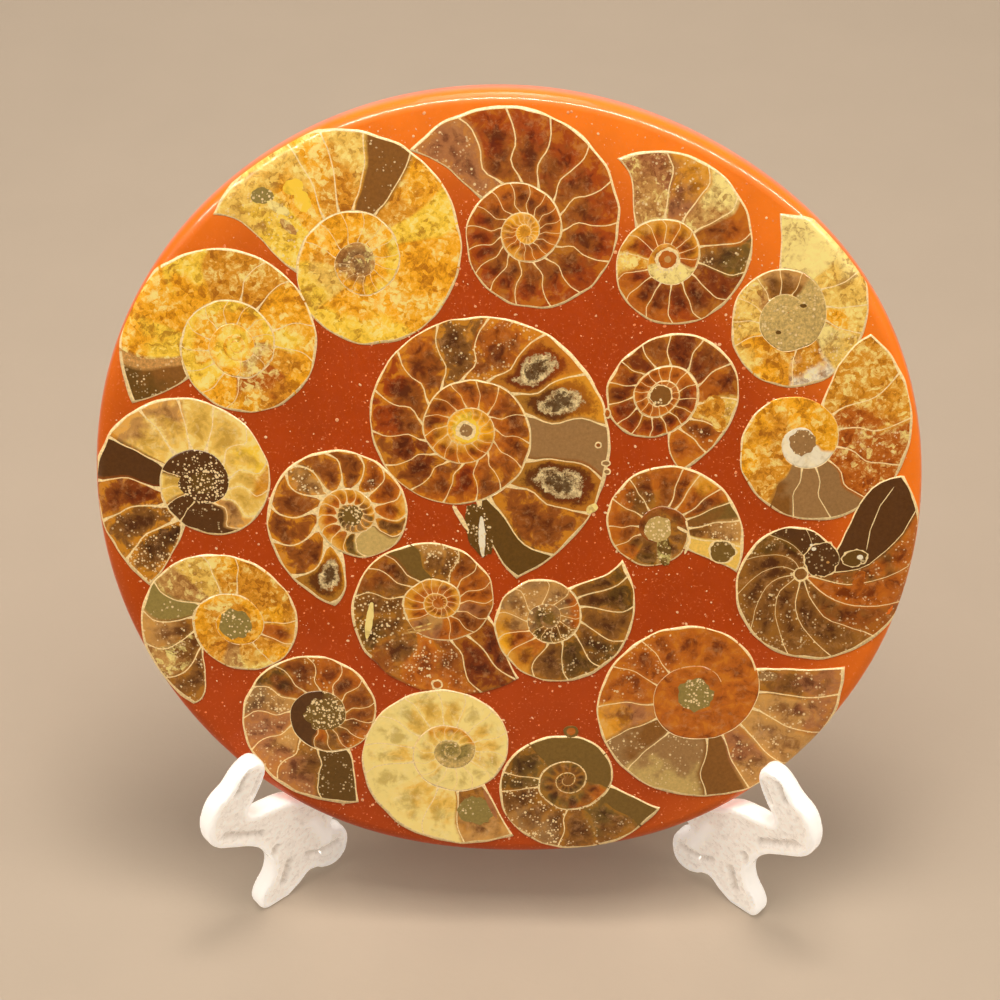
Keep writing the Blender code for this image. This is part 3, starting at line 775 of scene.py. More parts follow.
def ribbon_slot(inside, septa, columns, column, row):
    """The material slot for a face of the ribbon: shell on the walls and septa that show, else the filling's."""
    index, along = columns[column]
    middle = (septa[index][0] + septa[min(index + 1, len(septa) - 1)][0]) / 2
    septum = 0 if along < 0 else index + 1
    code = looked_up(inside.fillings, middle)
    if "*" in code:
        shown = False
    elif along in (-1.0, 1.0):
        shown = septa[septum][1]
    elif row == 0:
        shown = ":" not in code and "-" not in code
    else:
        shown = row == len(slice_rows()) - 2 and ":" not in code
    return SHELL if shown else stone_slot(code)


def slice_mesh(name, spiral, inside, order, colours):
    """One slice: a ribbon of grid faces wound along the spiral, given its depth by an extrusion."""
    septa = all_septa(spiral, inside)
    columns = slice_columns(spiral, septa)
    bm = bmesh.new()
    spiral_uv = bm.loops.layers.uv.new("spiral")
    layers = (
        *(bm.verts.layers.float_color.new(layer) for layer in ("outer_stone", "inner_stone")),
        *(bm.verts.layers.float.new(layer) for layer in ("core", "crystal", "sparkle", "glow")),
    )
    at, spiral_place = wind_ribbon(bm, spiral, inside, septa, columns, colours, layers)
    for face in bm.faces:
        for loop in face.loops:
            loop[spiral_uv].uv = spiral_place[loop.vert]
        column, row = (min(at[vert][axis] for vert in face.verts) for axis in (0, 1))
        face.material_index = ribbon_slot(inside, septa, columns, column, row)
        face.smooth = True
    trim_to_rim(bm)
    top = SLICE_PROUD + SLICE_STACK * order
    for vert in bm.verts:
        drop = face_height(vert.co.x, vert.co.y)
        vert.co.z = top + drop + min(-drop, RIM_PROUD)
    for step, (radius, code) in enumerate(((LAST_RADIUS, looked_up(inside.fillings, END)), *inside.hub)):
        add_patch(bm, (spiral.x, spiral.y, top + HUB_STEP * (step + 1)), (radius, radius, 0), code, colours, layers)
    for step, (x, y, wide, tall, turn, code) in enumerate(PATCHES.get(name, ())):
        add_patch(bm, (x, y, top + HUB_STEP * (step + 1)), (wide, tall, turn), code, colours, layers)
    made = bmesh.ops.extrude_face_region(bm, geom=bm.faces[:])
    below = [item for item in made["geom"] if isinstance(item, bmesh.types.BMVert)]
    bmesh.ops.translate(bm, verts=below, vec=(0, 0, -SLICE_DEPTH))
    bmesh.ops.recalc_face_normals(bm, faces=bm.faces[:])
    return bm


def stone_slot(code):
    """The material slot for a filling."""
    if code[0] == "#":
        return SHELL
    if "^" in code:
        return DRUSE
    return MUDSTONE if "=" in code or (code[0] in MUD and code[1] in MUD) else CALCITE


def add_patch(bm, place, size, code, colours, layers):
    """A ragged little disc of one stone: a hub, a pocket of crystals or a trapped bubble."""
    wide, tall, turn = size
    matrix = (
        Matrix.Translation(place) @ Matrix.Rotation(math.radians(turn), 4, "Z") @ Matrix.Diagonal((wide, tall, 1, 1))
    )
    disc = bmesh.ops.create_circle(bm, cap_ends=True, segments=PATCH_SIDES, radius=1, matrix=matrix)
    middle = Vector(place)
    for vert in disc["verts"]:
        ragged = 1 + PATCH_RAGGED * noise.noise(vert.co * 1.1) + PATCH_RAGGED * noise.noise(vert.co * 2.7)
        vert.co = middle + (vert.co - middle) * ragged
        paint(vert, layers, code, colours, 1, LOST_CORE, 0)
    for face in {face for vert in disc["verts"] for face in vert.link_faces}:
        face.material_index = stone_slot(code)


def over_a_slice(x, y):
    """Whether a place on the disc is covered by any slice."""
    for spiral, _ in AMMONITES.values():
        angle = math.degrees(math.atan2(y - spiral.y, x - spiral.x))
        back = (spiral.turn * (spiral.tip - angle)) % 360
        if math.hypot(x - spiral.x, y - spiral.y) < outer_radius(spiral, back):
            return True
    return False


def dust_mesh():
    """Crumbs of shell and stone left in the resin, thickest close to the slices."""
    draw = random.Random(DUST_SEED)
    spirals = [spiral for spiral, _ in AMMONITES.values()]
    bm = bmesh.new()
    for _ in range(DUST_COUNT):
        spiral = draw.choice(spirals)
        back = draw.uniform(0, 360)
        away = draw.expovariate(1 / DUST_REACH)
        size = min(DUST_SIZE + draw.expovariate(1 / DUST_SPREAD), DUST_LARGEST)
        squash = draw.uniform(0.5, 1.0)
        angle = math.radians(spiral.tip - spiral.turn * back)
        radius = outer_radius(spiral, back) + away
        x, y = spiral.x + radius * math.cos(angle), spiral.y + radius * math.sin(angle)
        if over_a_slice(x, y) or math.hypot(x, y) > rim_radius(math.degrees(math.atan2(y, x))) - RIM_ROUNDING:
            continue
        matrix = (
            Matrix.Translation((x, y, DUST_HEIGHT)) @ Matrix.Rotation(draw.uniform(0, math.pi), 4, "Z")
            @ Matrix.Diagonal((size, size * squash, DUST_THICKNESS, 1))
        )
        bmesh.ops.create_icosphere(bm, subdivisions=1, radius=1, matrix=matrix)
    return bm


def trim_to_rim(bm):
    """Cuts away what would hang over the disc's rim, as if the slice had been ground with the disc."""
    over = {}
    for vert in bm.verts:
        radius = math.hypot(vert.co.x, vert.co.y)
        limit = rim_radius(math.degrees(math.atan2(vert.co.y, vert.co.x))) - SLICE_RIM_GAP
        if radius > limit:
            over[vert] = limit / radius
    gone = [face for face in bm.faces if all(vert in over for vert in face.verts)]
    bmesh.ops.delete(bm, geom=gone, context="FACES")
    for vert in bm.verts:
        if vert in over:
            vert.co *= over[vert]


def add_piece(name, bm, materials, placed=None):
    """Makes an object of a bmesh in millimetres, moved by a matrix that is in metres."""
    bmesh.ops.scale(bm, vec=(MM,) * 3, verts=bm.verts[:])
    if placed:
        bmesh.ops.transform(bm, matrix=placed, verts=bm.verts[:])
    mesh = bpy.data.meshes.new(name)
    bm.to_mesh(mesh)
    bm.free()
    for material in materials:
        mesh.materials.append(material)
    piece = bpy.data.objects.new(name, mesh)
    bpy.context.scene.collection.objects.link(piece)
    return piece


# The stand's halves.


def plate_place(point, side):
    """A point in millimetres as (along the plate from its toe, height, out from its middle)."""
    across = 2 * STAND_X - point.x if side == "right" else point.x
    turn = math.radians(PLATE_ANGLE)
    x, y = across - (STAND_X - TOE_X), point.y - TOE_Y
    return (x * math.cos(turn) + y * math.sin(turn), point.z, x * math.sin(turn) - y * math.cos(turn))


def distance_from_line(along, height, start, end):
    """How far a place on a plate is from the straight line between two others."""
    run, rise = end[0] - start[0], end[1] - start[1]
    share = ((along - start[0]) * run + (height - start[1]) * rise) / (run * run + rise * rise)
    share = min(max(share, 0.0), 1.0)
    return math.hypot(along - start[0] - share * run, height - start[1] - share * rise)


def moulding_depth(along, height, edge_distance, settings):
    """How far the plate's face lies below its bead here, and how thin and clear the plastic looks."""
    bead = settings.bead_width / MM
    web = smooth_step((edge_distance - bead) / BEAD_SLOPE)
    web *= smooth_step(distance_from_line(along, height, *BOSS[:2]) / BOSS[2])
    pebble = PEBBLE_DEPTH * noise.noise(Vector((along, height, 0)) / PEBBLE_SIZE)
    depth = web * (settings.web_depth / MM + pebble)
    thin = WEB_CLEAR * web * (1 + PEBBLE_CLEAR * pebble)
    for start, end, width, cut in GROOVES:
        pressed = 1 - smooth_step(distance_from_line(along, height, start, end) / width)
        depth += cut * pressed
        thin += GROOVE_CLEAR * pressed
    return depth, min(max(thin, 0), 1)


def stand_moulding(node_name, side, settings):
    """A half of the stand, remeshed finely so that its bead, web and grooves can be pressed into its faces."""
    bm = bmesh.new()
    bm.from_mesh(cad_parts[node_name].data)
    bmesh.ops.remove_doubles(bm, verts=bm.verts[:], dist=MERGE_DISTANCE * MM)
    mesh = bpy.data.meshes.new("stand_work")
    bm.to_mesh(mesh)
    # The plate's two large faces, whose outlines tell how far a place on them is from the edge.
    bmesh.ops.dissolve_limit(bm, angle_limit=math.radians(FLAT_WITHIN), verts=bm.verts[:], edges=bm.edges[:])
    faces = sorted(bm.faces, key=lambda face: face.calc_area())[-2:]
    edges = {edge for face in faces for edge in face.edges}
    marks = []
    for edge in edges:
        first, last = (vert.co / MM for vert in edge.verts)
        steps = max(round((last - first).length / EDGE_STEP), 1)
        marks += [plate_place(first.lerp(last, step / steps), side)[:2] for step in range(steps + 1)]
    tree = kdtree.KDTree(len(marks))
    for index, (along, height) in enumerate(marks):
        tree.insert((along, height, 0), index)
    tree.balance()
    bm.free()

    work = bpy.data.objects.new("stand_work", mesh)
    bpy.context.scene.collection.objects.link(work)
    remesh = work.modifiers.new("remesh", "REMESH")
    remesh.mode = "VOXEL"
    remesh.voxel_size = STAND_VOXEL * MM
    fine = bpy.data.meshes.new_from_object(work.evaluated_get(bpy.context.evaluated_depsgraph_get()))
    bpy.data.objects.remove(work)
    bm = bmesh.new()
    bm.from_mesh(fine)
    bpy.data.meshes.remove(fine)
    bpy.data.meshes.remove(mesh)
    bmesh.ops.scale(bm, vec=(1 / MM,) * 3, verts=bm.verts[:])
    turn = math.radians(PLATE_ANGLE)
    out = Vector((math.sin(turn) * (-1 if side == "right" else 1), -math.cos(turn), 0))
    thinness = bm.verts.layers.float.new("thin")
    for vert in bm.verts:
        along, height, away = plate_place(vert.co, side)
        if abs(away) < PLATE_THICKNESS / 2 - FACE_LAYER:
            continue
        edge_distance = tree.find((along, height, 0))[2] + PLATE_ROUNDING
        depth, vert[thinness] = moulding_depth(along, height, edge_distance, settings)
        vert.co -= out * math.copysign(depth, away)
    for face in bm.faces:
        face.smooth = True
    return bm


# Materials.


# How rough a finish is, from and to, and how deep its pits are in millimetres.
POLISHED = (0.3, 0.5, 0.025)
FROSTED = (0.22, 0.36, 0.01)
MATT = (0.65, 0.8, 0.05)


def worn(tree, place, shader, smoothest, roughest, pit_depth):
    """Makes a surface rougher in patches and finely pitted. Real pits are finer; 0.8 mm is as fine as shows."""
    wear = node(tree, "TexNoise", {"Vector": place, "Scale": per_mm(0.8), "Detail": 4.0, "Roughness": 0.6})
    rough = node(
        tree, "MapRange", {"Value": wear, "From Min": 0.3, "From Max": 0.7, "To Min": smoothest, "To Max": roughest},
    )
    pits = node(tree, "Bump", {"Height": wear, "Strength": 0.5, "Distance": pit_depth * MM})
    feed(tree, shader, {"Roughness": rough, "Normal": pits})


def shell_material(colours):
    """Fossil shell, ground and polished: thin cream lines that stain golden brown in places."""
    material, tree, shader, place = start_material("polished_fossil_shell")
    stain = node(tree, "TexNoise", {"Vector": place, "Scale": per_mm(2.5), "Detail": 5.0, "Roughness": 0.7})
    turns = node(tree, "SeparateXYZ", {"Vector": node(tree, "UVMap", uv_map="spiral")})
    inward = node(tree, "Math", {0: turns.outputs["X"], 1: 0.12, 2: stain}, operation="MULTIPLY_ADD")
    stained = node(tree, "MapRange", {"Value": inward, "From Min": 0.60, "From Max": 1.05})
    colour = node(tree, "Mix", {"Factor": stained, "A": colours.shell, "B": colours.shell_gold}, data_type="RGBA")
    grain = node(tree, "TexNoise", {"Vector": place, "Scale": per_mm(0.35), "Detail": 2.0})
    shade = node(tree, "MapRange", {"Value": grain, "From Min": 0.3, "From Max": 0.7, "To Min": 0.8, "To Max": 1.15})
    toned = node(tree, "HueSaturation", {"Value": shade, "Color": colour})
    worn(tree, place, shader, *POLISHED)
    feed(tree, shader, {"Base Color": toned, "Specular IOR Level": 0.2, "Coat Weight": 0.25, "Coat Roughness": 0.08})
    return material


def stone_tones(tree, place, wander):
    """The colour of a chamber's stone: the inner stone below, the outer one above, parting along a wandering line."""
    across = node(tree, "SeparateXYZ", {"Vector": node(tree, "UVMap", uv_map="spiral")})
    drift = node(tree, "TexNoise", {"Vector": place, "Scale": per_mm(wander), "Detail": 4.0})
    moved = node(tree, "Math", {0: drift, 1: 1.9, 2: -0.95}, operation="MULTIPLY_ADD")
    level = node(tree, "Math", {0: across.outputs["Y"], 1: moved}, operation="ADD")
    share = node(
        tree, "MapRange", {"Value": level, "From Min": 0.25, "From Max": 0.85}, interpolation_type="SMOOTHSTEP",
    )
    inner = node(tree, "Attribute", attribute_name="inner_stone")
    outer = node(tree, "Attribute", attribute_name="outer_stone")
    return node(tree, "Mix", {"Factor": share, "A": inner, "B": outer}, data_type="RGBA")


def polish(tree, place, shader, colour):
    """A cast and polished surface: rougher stone under a clear, even gloss."""
    worn(tree, place, shader, *POLISHED)
    feed(
        tree, shader, {
            "Base Color": colour, "IOR": 1.5, "Specular IOR Level": 0.1,
            "Coat Weight": 0.35, "Coat Roughness": 0.05, "Coat IOR": 1.45,
        },
    )


def sparkled(tree, place, colour):
    """Scatters grains of pale crystal in patches. The real ones are finer; 0.4 mm apart is as fine as shows."""
    sparkle = node(tree, "Attribute", attribute_name="sparkle").outputs["Fac"]
    patch = node(tree, "TexNoise", {"Vector": place, "Scale": per_mm(2.4), "Detail": 3.0})
    spread = node(tree, "Math", {0: patch, 1: 2.6, 2: -1.4}, operation="MULTIPLY_ADD")
    crowd = node(tree, "Math", {0: sparkle, 1: 0.3, 2: spread}, operation="MULTIPLY_ADD")
    grains = node(tree, "TexVoronoi", {"Vector": place, "Scale": per_mm(0.4)})
    drawn = node(tree, "SeparateColor", {"Color": grains.outputs["Color"]})
    lit = node(tree, "Math", {0: drawn.outputs["Red"], 1: crowd}, operation="LESS_THAN")
    reach = node(tree, "MapRange", {"Value": drawn.outputs["Green"], "To Min": 0.2, "To Max": 0.6})
    inside = node(tree, "Math", {0: reach, 1: grains.outputs["Distance"]}, operation="SUBTRACT")
    edge = node(tree, "MapRange", {"Value": inside, "From Min": 0.0, "From Max": 0.12})
    bright = node(tree, "MapRange", {"Value": drawn.outputs["Blue"], "To Min": 0.3, "To Max": 0.95})
    spot = node(tree, "Math", {0: edge, 1: bright}, operation="MULTIPLY")
    here = node(tree, "Math", {0: spot, 1: lit}, operation="MULTIPLY")
    shown = node(tree, "Math", {0: here, 1: sparkle}, operation="MULTIPLY", use_clamp=True)
    return node(tree, "Mix", {"Factor": shown, "A": colour, "B": linear("#F2D9A4")}, data_type="RGBA")


def calcite_material(colours):
    """Polished calcite: glass that is deep in mid-chamber and golden at the walls, or a mass of bright crystals."""
    material, tree, shader, place = start_material("polished_calcite")
    colour = stone_tones(tree, place, 2.6)
    crystal = node(tree, "Attribute", attribute_name="crystal").outputs["Fac"]
    core = node(tree, "Attribute", attribute_name="core").outputs["Fac"]

    # Glass: golden along a chamber's edges, its own colour, then deep and dark; clouds bend the lines between.
    cloud = node(
        tree, "TexNoise", {"Vector": place, "Scale": per_mm(1.9), "Detail": 8.0, "Roughness": 0.62, "Distortion": 0.5},
    )
    middling = node(tree, "Math", {0: core, 1: 0.6}, operation="MULTIPLY")
    sunk = node(tree, "Math", {0: cloud, 1: -2.4, 2: middling}, operation="MULTIPLY_ADD")
    glow = node(tree, "Attribute", attribute_name="glow").outputs["Fac"]
    # Pale stone has paler edges, shadows and haze than dark stone.
    lightness = node(tree, "RGBToBW", {"Color": colour})
    paleness = node(tree, "MapRange", {"Value": lightness, "From Min": 0.28, "From Max": 0.52})
    gold = node(tree, "Mix", {"Factor": paleness, "A": linear("#F0A024"), "B": linear("#FFE68E")}, data_type="RGBA")
    shadow = node(
        tree, "Mix", {"Factor": paleness, "A": (0.38, 0.29, 0.29, 1), "B": (0.7, 0.64, 0.5, 1)}, data_type="RGBA",
    )
    veil = node(tree, "Mix", {"Factor": paleness, "A": linear("#D09A60"), "B": linear("#FFEDB4")}, data_type="RGBA")
    edge = node(tree, "Mix", {"Factor": glow, "A": colour, "B": gold}, data_type="RGBA")
    deep = node(tree, "Mix", {"Factor": 1.0, "A": colour, "B": shadow}, data_type="RGBA", blend_type="MULTIPLY")
    inner = node(
        tree, "MapRange", {"Value": sunk, "From Min": -1.28, "From Max": -0.98}, interpolation_type="SMOOTHSTEP",
    )
    depth = node(
        tree, "MapRange", {"Value": sunk, "From Min": -1.0, "From Max": -0.4}, interpolation_type="SMOOTHSTEP",
    )
    shallow = node(tree, "Mix", {"Factor": inner, "A": edge, "B": colour}, data_type="RGBA")
    pure = node(tree, "Mix", {"Factor": depth, "A": shallow, "B": deep}, data_type="RGBA")
    haze = node(
        tree, "TexNoise", {"Vector": place, "Scale": per_mm(1.5), "Detail": 8.0, "Roughness": 0.78, "Distortion": 0.4},
    )
    hazy = node(tree, "MapRange", {"Value": haze, "From Min": 0.52, "From Max": 0.72, "To Max": 0.6})
    glass = node(tree, "Mix", {"Factor": hazy, "A": pure, "B": veil}, data_type="RGBA")

    # Crystals: chunks and blades from brown through the stone's own colour to nearly white.
    bend = node(tree, "TexNoise", {"Vector": place, "Scale": per_mm(1.6), "Detail": 3.0})
    bent = node(tree, "Mix", {"Factor": 2.2 * MM, "A": place, "B": bend.outputs["Color"]}, data_type="VECTOR")
    cells = node(tree, "TexVoronoi", {"Vector": bent, "Scale": per_mm(0.75)})
    facet = node(tree, "SeparateColor", {"Color": cells.outputs["Color"]})
    feather = node(
        tree, "TexNoise", {"Vector": place, "Scale": per_mm(1.2), "Detail": 8.0, "Roughness": 0.8, "Distortion": 0.6},
    )
    zone = node(tree, "TexNoise", {"Vector": place, "Scale": per_mm(5.0), "Detail": 2.0})
    chunk = node(tree, "Math", {0: facet.outputs["Red"], 1: 0.25, 2: feather}, operation="MULTIPLY_ADD")
    blade = node(tree, "Math", {0: zone, 1: 0.6, 2: chunk}, operation="MULTIPLY_ADD")
    brown = node(
        tree, "Mix", {"Factor": 1.0, "A": colour, "B": (0.52, 0.39, 0.31, 1)}, data_type="RGBA", blend_type="MULTIPLY",
    )
    pale = node(tree, "Mix", {"Factor": 0.8, "A": colour, "B": linear("#FFF096")}, data_type="RGBA")
    lower = node(
        tree, "MapRange", {"Value": blade, "From Min": 0.67, "From Max": 0.95}, interpolation_type="SMOOTHSTEP",
    )
    upper = node(
        tree, "MapRange", {"Value": blade, "From Min": 0.92, "From Max": 1.16}, interpolation_type="SMOOTHSTEP",
    )
    body = node(tree, "Mix", {"Factor": lower, "A": brown, "B": colour}, data_type="RGBA")
    bladed = node(tree, "Mix", {"Factor": upper, "A": body, "B": pale}, data_type="RGBA")
    stone = node(tree, "Mix", {"Factor": crystal, "A": glass, "B": bladed}, data_type="RGBA")

    polish(tree, place, shader, sparkled(tree, place, stone))
    return material


def mudstone_material(colours):
    """Hardened mud that filled a chamber: dull, fine-grained and even, with darker flecks."""
    material, tree, shader, place = start_material("polished_mudstone")
    colour = stone_tones(tree, place, 3.0)
    crystal = node(tree, "Attribute", attribute_name="crystal").outputs["Fac"]
    # The real grit is finer; 0.45 mm is as fine as shows.
    grit = node(tree, "TexNoise", {"Vector": place, "Scale": per_mm(0.45), "Detail": 3.0, "Roughness": 0.7})
    swing = node(tree, "Math", {0: crystal, 1: 0.45, 2: 0.3}, operation="MULTIPLY_ADD")
    centred = node(tree, "Math", {0: grit, 1: 0.5}, operation="SUBTRACT")
    scaled = node(tree, "Math", {0: centred, 1: swing}, operation="MULTIPLY")
    value = node(tree, "Math", {0: scaled, 1: 2.4, 2: 1.0}, operation="MULTIPLY_ADD")
    toned = node(tree, "HueSaturation", {"Value": value, "Color": colour})
    polish(tree, place, shader, sparkled(tree, place, toned))
    return material


def druse_material(colours):
    """A hollow chamber, drawn flat: a crust of small pale crystals round a dark middle of painted shade."""
    material, tree, shader, place = start_material("crystal_lined_hollow")
    colour = stone_tones(tree, place, 2.6)
    core = node(tree, "Attribute", attribute_name="core").outputs["Fac"]
    rough = node(tree, "TexNoise", {"Vector": place, "Scale": per_mm(1.2), "Detail": 8.0, "Roughness": 0.8})
    level = node(tree, "Math", {0: rough, 1: 1.35, 2: core}, operation="MULTIPLY_ADD")
    # From the wall inwards: glass, the crust, and a dark middle painted as the shade inside the hollow.
    edge = node(tree, "Mix", {"Factor": 0.35, "A": colour, "B": linear("#E6A02C")}, data_type="RGBA")
    near = node(tree, "MapRange", {"Value": level, "From Min": 0.75, "From Max": 1.1}, interpolation_type="SMOOTHSTEP")
    deep = node(
        tree, "Mix", {"Factor": 1.0, "A": colour, "B": (0.52, 0.38, 0.34, 1)}, data_type="RGBA", blend_type="MULTIPLY",
    )
    glass = node(tree, "Mix", {"Factor": near, "A": edge, "B": deep}, data_type="RGBA")
    grain = node(tree, "TexNoise", {"Vector": place, "Scale": per_mm(1.1), "Detail": 7.0, "Roughness": 0.85})
    bright = node(tree, "MapRange", {"Value": grain, "From Min": 0.38, "From Max": 0.6})
    crystals = node(tree, "Mix", {"Factor": bright, "A": linear("#7A4A16"), "B": linear("#F6E0A6")}, data_type="RGBA")
    crust = node(
        tree, "MapRange", {"Value": level, "From Min": 1.24, "From Max": 1.36}, interpolation_type="SMOOTHSTEP",
    )
    lined = node(tree, "Mix", {"Factor": crust, "A": glass, "B": crystals}, data_type="RGBA")
    # Painted shade: the hollow is flat, and its middle is painted dark as if in shadow.
    opening_painted_shade = node(
        tree, "MapRange", {"Value": level, "From Min": 1.46, "From Max": 1.58, "To Max": 0.9},
        interpolation_type="SMOOTHSTEP",
    )
    finished = node(tree, "Mix", {"Factor": opening_painted_shade, "A": lined, "B": linear("#50300E")}, data_type="RGBA")
    polish(tree, place, shader, finished)
    return material


def resin_material(settings):
    """Polyester resin, cast and polished: deep orange, with painted light at its upper rim and stone dust in it."""
    material, tree, shader, place = start_material("polished_orange_resin")
    flat = node(
        tree, "Mapping",
        {"Vector": place, "Location": Vector(DISC_CENTRE) * MM, "Rotation": (math.radians(90 - DISC_LEAN), 0, 0)},
        vector_type="TEXTURE",
    )
    split = node(tree, "SeparateXYZ", {"Vector": flat})
    # Painted light: the resin is painted brighter towards the rim, most of all up and to the right.
    across = node(tree, "CombineXYZ", {"X": split.outputs["X"], "Y": split.outputs["Y"]})
    radius = node(tree, "VectorMath", {0: across}, operation="LENGTH")
    raised = node(tree, "Math", {0: split.outputs["Y"], 1: 0.22, 2: radius}, operation="MULTIPLY_ADD")
    righted = node(tree, "Math", {0: split.outputs["X"], 1: 0.12, 2: raised}, operation="MULTIPLY_ADD")
    rim = node(
        tree, "MapRange", {"Value": righted, "From Min": 43 * MM, "From Max": 72 * MM},
        interpolation_type="SMOOTHSTEP",
    )
    colour = node(tree, "Mix", {"Factor": rim, "A": settings.resin, "B": settings.resin_rim_painted_light}, data_type="RGBA")
    side = node(
        tree, "MapRange", {"Value": split.outputs["Z"], "From Min": -0.6 * MM, "From Max": -2.0 * MM},
        interpolation_type="SMOOTHSTEP",
    )
    outside = node(tree, "MapRange", {"Value": radius, "From Min": 56.5 * MM, "From Max": 59 * MM})
    ground = node(tree, "Math", {0: side, 1: outside}, operation="MULTIPLY")
    edged = node(tree, "Mix", {"Factor": ground, "A": colour, "B": settings.resin_side}, data_type="RGBA")
    cloud = node(tree, "TexNoise", {"Vector": place, "Scale": per_mm(9), "Detail": 5.0, "Roughness": 0.6})
    cloudy = node(tree, "MapRange", {"Value": cloud, "To Min": 0.78, "To Max": 1.2})
    toned = node(tree, "HueSaturation", {"Value": cloudy, "Color": edged})
    fine = node(tree, "TexNoise", {"Vector": place, "Scale": 1 / (0.3 * settings.speck_size), "Detail": 1.0})
    dusty = node(tree, "MapRange", {"Value": fine, "From Min": 0.62, "From Max": 0.8, "To Max": 0.5})
    cells = node(tree, "TexVoronoi", {"Vector": place, "Scale": 1 / settings.speck_size})
    drawn = node(tree, "SeparateColor", {"Color": cells.outputs["Color"]})
    size = node(
        tree, "MapRange",
        {"Value": drawn.outputs["Red"], "From Min": 0.3, "From Max": 1.0, "To Min": 0.02, "To Max": 0.13},
    )
    inside = node(tree, "Math", {0: cells.outputs["Distance"], 1: size}, operation="LESS_THAN")
    specks = node(tree, "Math", {0: inside, 1: dusty}, operation="MAXIMUM")
    specked = node(tree, "Mix", {"Factor": specks, "A": toned, "B": settings.speck}, data_type="RGBA")
    polish(tree, place, shader, specked)
    return material


def crumb_material(settings):
    """Ground shell and stone: dull pale crumbs, some stained by the resin over them."""
    material, tree, shader, place = start_material("ground_shell_crumbs")
    stain = node(tree, "TexNoise", {"Vector": place, "Scale": per_mm(1.5), "Detail": 1.0})
    share = node(tree, "MapRange", {"Value": stain, "From Min": 0.35, "From Max": 0.7})
    colour = node(tree, "Mix", {"Factor": share, "A": settings.speck, "B": linear("#F6D2A0")}, data_type="RGBA")
    polish(tree, place, shader, colour)
    return material


def plastic_material(settings):
    """Moulded polystyrene with a frosted skin: milky white where thick, clearer and greyer where pressed thin."""
    material, tree, shader, place = start_material("frosted_clear_plastic")
    thin = node(tree, "Attribute", attribute_name="thin").outputs["Fac"]
    haze = node(tree, "TexNoise", {"Vector": place, "Scale": per_mm(1.1), "Detail": 4.0, "Roughness": 0.6})
    cloudy = node(tree, "MapRange", {"Value": haze, "From Min": 0.3, "From Max": 0.7, "To Min": -0.12, "To Max": 0.12})
    clear = node(tree, "Math", {0: thin, 1: cloudy}, operation="ADD", use_clamp=True)
    colour = node(tree, "Mix", {"Factor": clear, "A": settings.plastic, "B": settings.plastic_thin}, data_type="RGBA")
    through = node(tree, "MapRange", {"Value": clear, "To Min": 0.0, "To Max": 0.16})
    worn(tree, place, shader, *FROSTED)
    feed(
        tree, shader, {
            "Base Color": colour, "Transmission Weight": through, "IOR": 1.45,
            "Subsurface Weight": 0.6, "Subsurface Radius": (1.0, 0.95, 0.9), "Subsurface Scale": 3 * MM,
            # Painted light: a glow in the plastic's own colour stands in for light led in from outside the disc's
            # shadow.
            "Emission Color": colour, "Emission Strength": 0.27,
            "Coat Weight": 0.5, "Coat Roughness": 0.12,
        },
    )
    return material


def floor_material(settings):
    """A plain matt board, very slightly mottled."""
    material, tree, shader, place = start_material("matt_board")
    mottle = node(tree, "TexNoise", {"Vector": place, "Scale": per_mm(22), "Detail": 4.0})
    shade = node(tree, "MapRange", {"Value": mottle, "To Min": 0.97, "To Max": 1.03})
    toned = node(tree, "HueSaturation", {"Value": shade, "Color": settings.floor})
    worn(tree, place, shader, *MATT)
    feed(tree, shader, {"Base Color": toned, "Specular IOR Level": 0.0})
    return material


# The pieces.


class FOSSIL_OT_resin_disc(bpy.types.Operator):
    """Build the cast resin disc"""

    bl_idname = "fossil.resin_disc"
    bl_label = "Resin Disc"

    def execute(self, context):
        bm = bmesh.new()
        bmesh.ops.create_circle(bm, cap_ends=True, segments=RIM_STEPS, radius=1)
        for vert in bm.verts:
            angle = math.degrees(math.atan2(vert.co.y, vert.co.x))
            vert.co = vert.co.normalized() * rim_radius(angle)
        made = bmesh.ops.extrude_face_region(bm, geom=bm.faces[:])
        back = [item for item in made["geom"] if isinstance(item, bmesh.types.BMVert)]
        bmesh.ops.translate(bm, verts=back, vec=(0, 0, -DISC_THICKNESS))
        # The outlines of the face and the back, not the upright edges between them.
        edges = [edge for edge in bm.edges if abs(edge.verts[0].co.z - edge.verts[1].co.z) < LEVEL_WITHIN]
        bmesh.ops.bevel(
            bm, geom=edges, offset=RIM_ROUNDING, segments=RIM_ROUNDING_STEPS, profile=0.5, affect="EDGES",
            material=-1, clamp_overlap=False,
        )
        bmesh.ops.recalc_face_normals(bm, faces=bm.faces[:])
        for face in bm.faces:
            face.smooth = len(face.verts) == 4
        piece = add_piece("resin_disc_cast", bm, [resin_material(context.scene.fossil_disc)], disc_frame())
        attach(piece, BODY)
        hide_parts("resin_disc")
        return {"FINISHED"}


class FOSSIL_OT_ammonite_slices(bpy.types.Operator):
    """Build the ammonite slices, each chamber, septum and wall in its own stone"""

    bl_idname = "fossil.ammonite_slices"
    bl_label = "Ammonite Slices"

    def execute(self, context):
        colours = context.scene.fossil_stones
        materials = [
            shell_material(colours), calcite_material(colours), mudstone_material(colours), druse_material(colours),
        ]
        for order, (name, (spiral, inside)) in enumerate(AMMONITES.items()):
            bm = slice_mesh(name, spiral, inside, order, colours)
            piece = add_piece(f"{name}_slice", bm, materials, disc_frame())
            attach(piece, BODY)
            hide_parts(name)
        crumbs = add_piece("shell_crumbs", dust_mesh(), [crumb_material(context.scene.fossil_disc)], disc_frame())
        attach(crumbs, BODY)
        return {"FINISHED"}


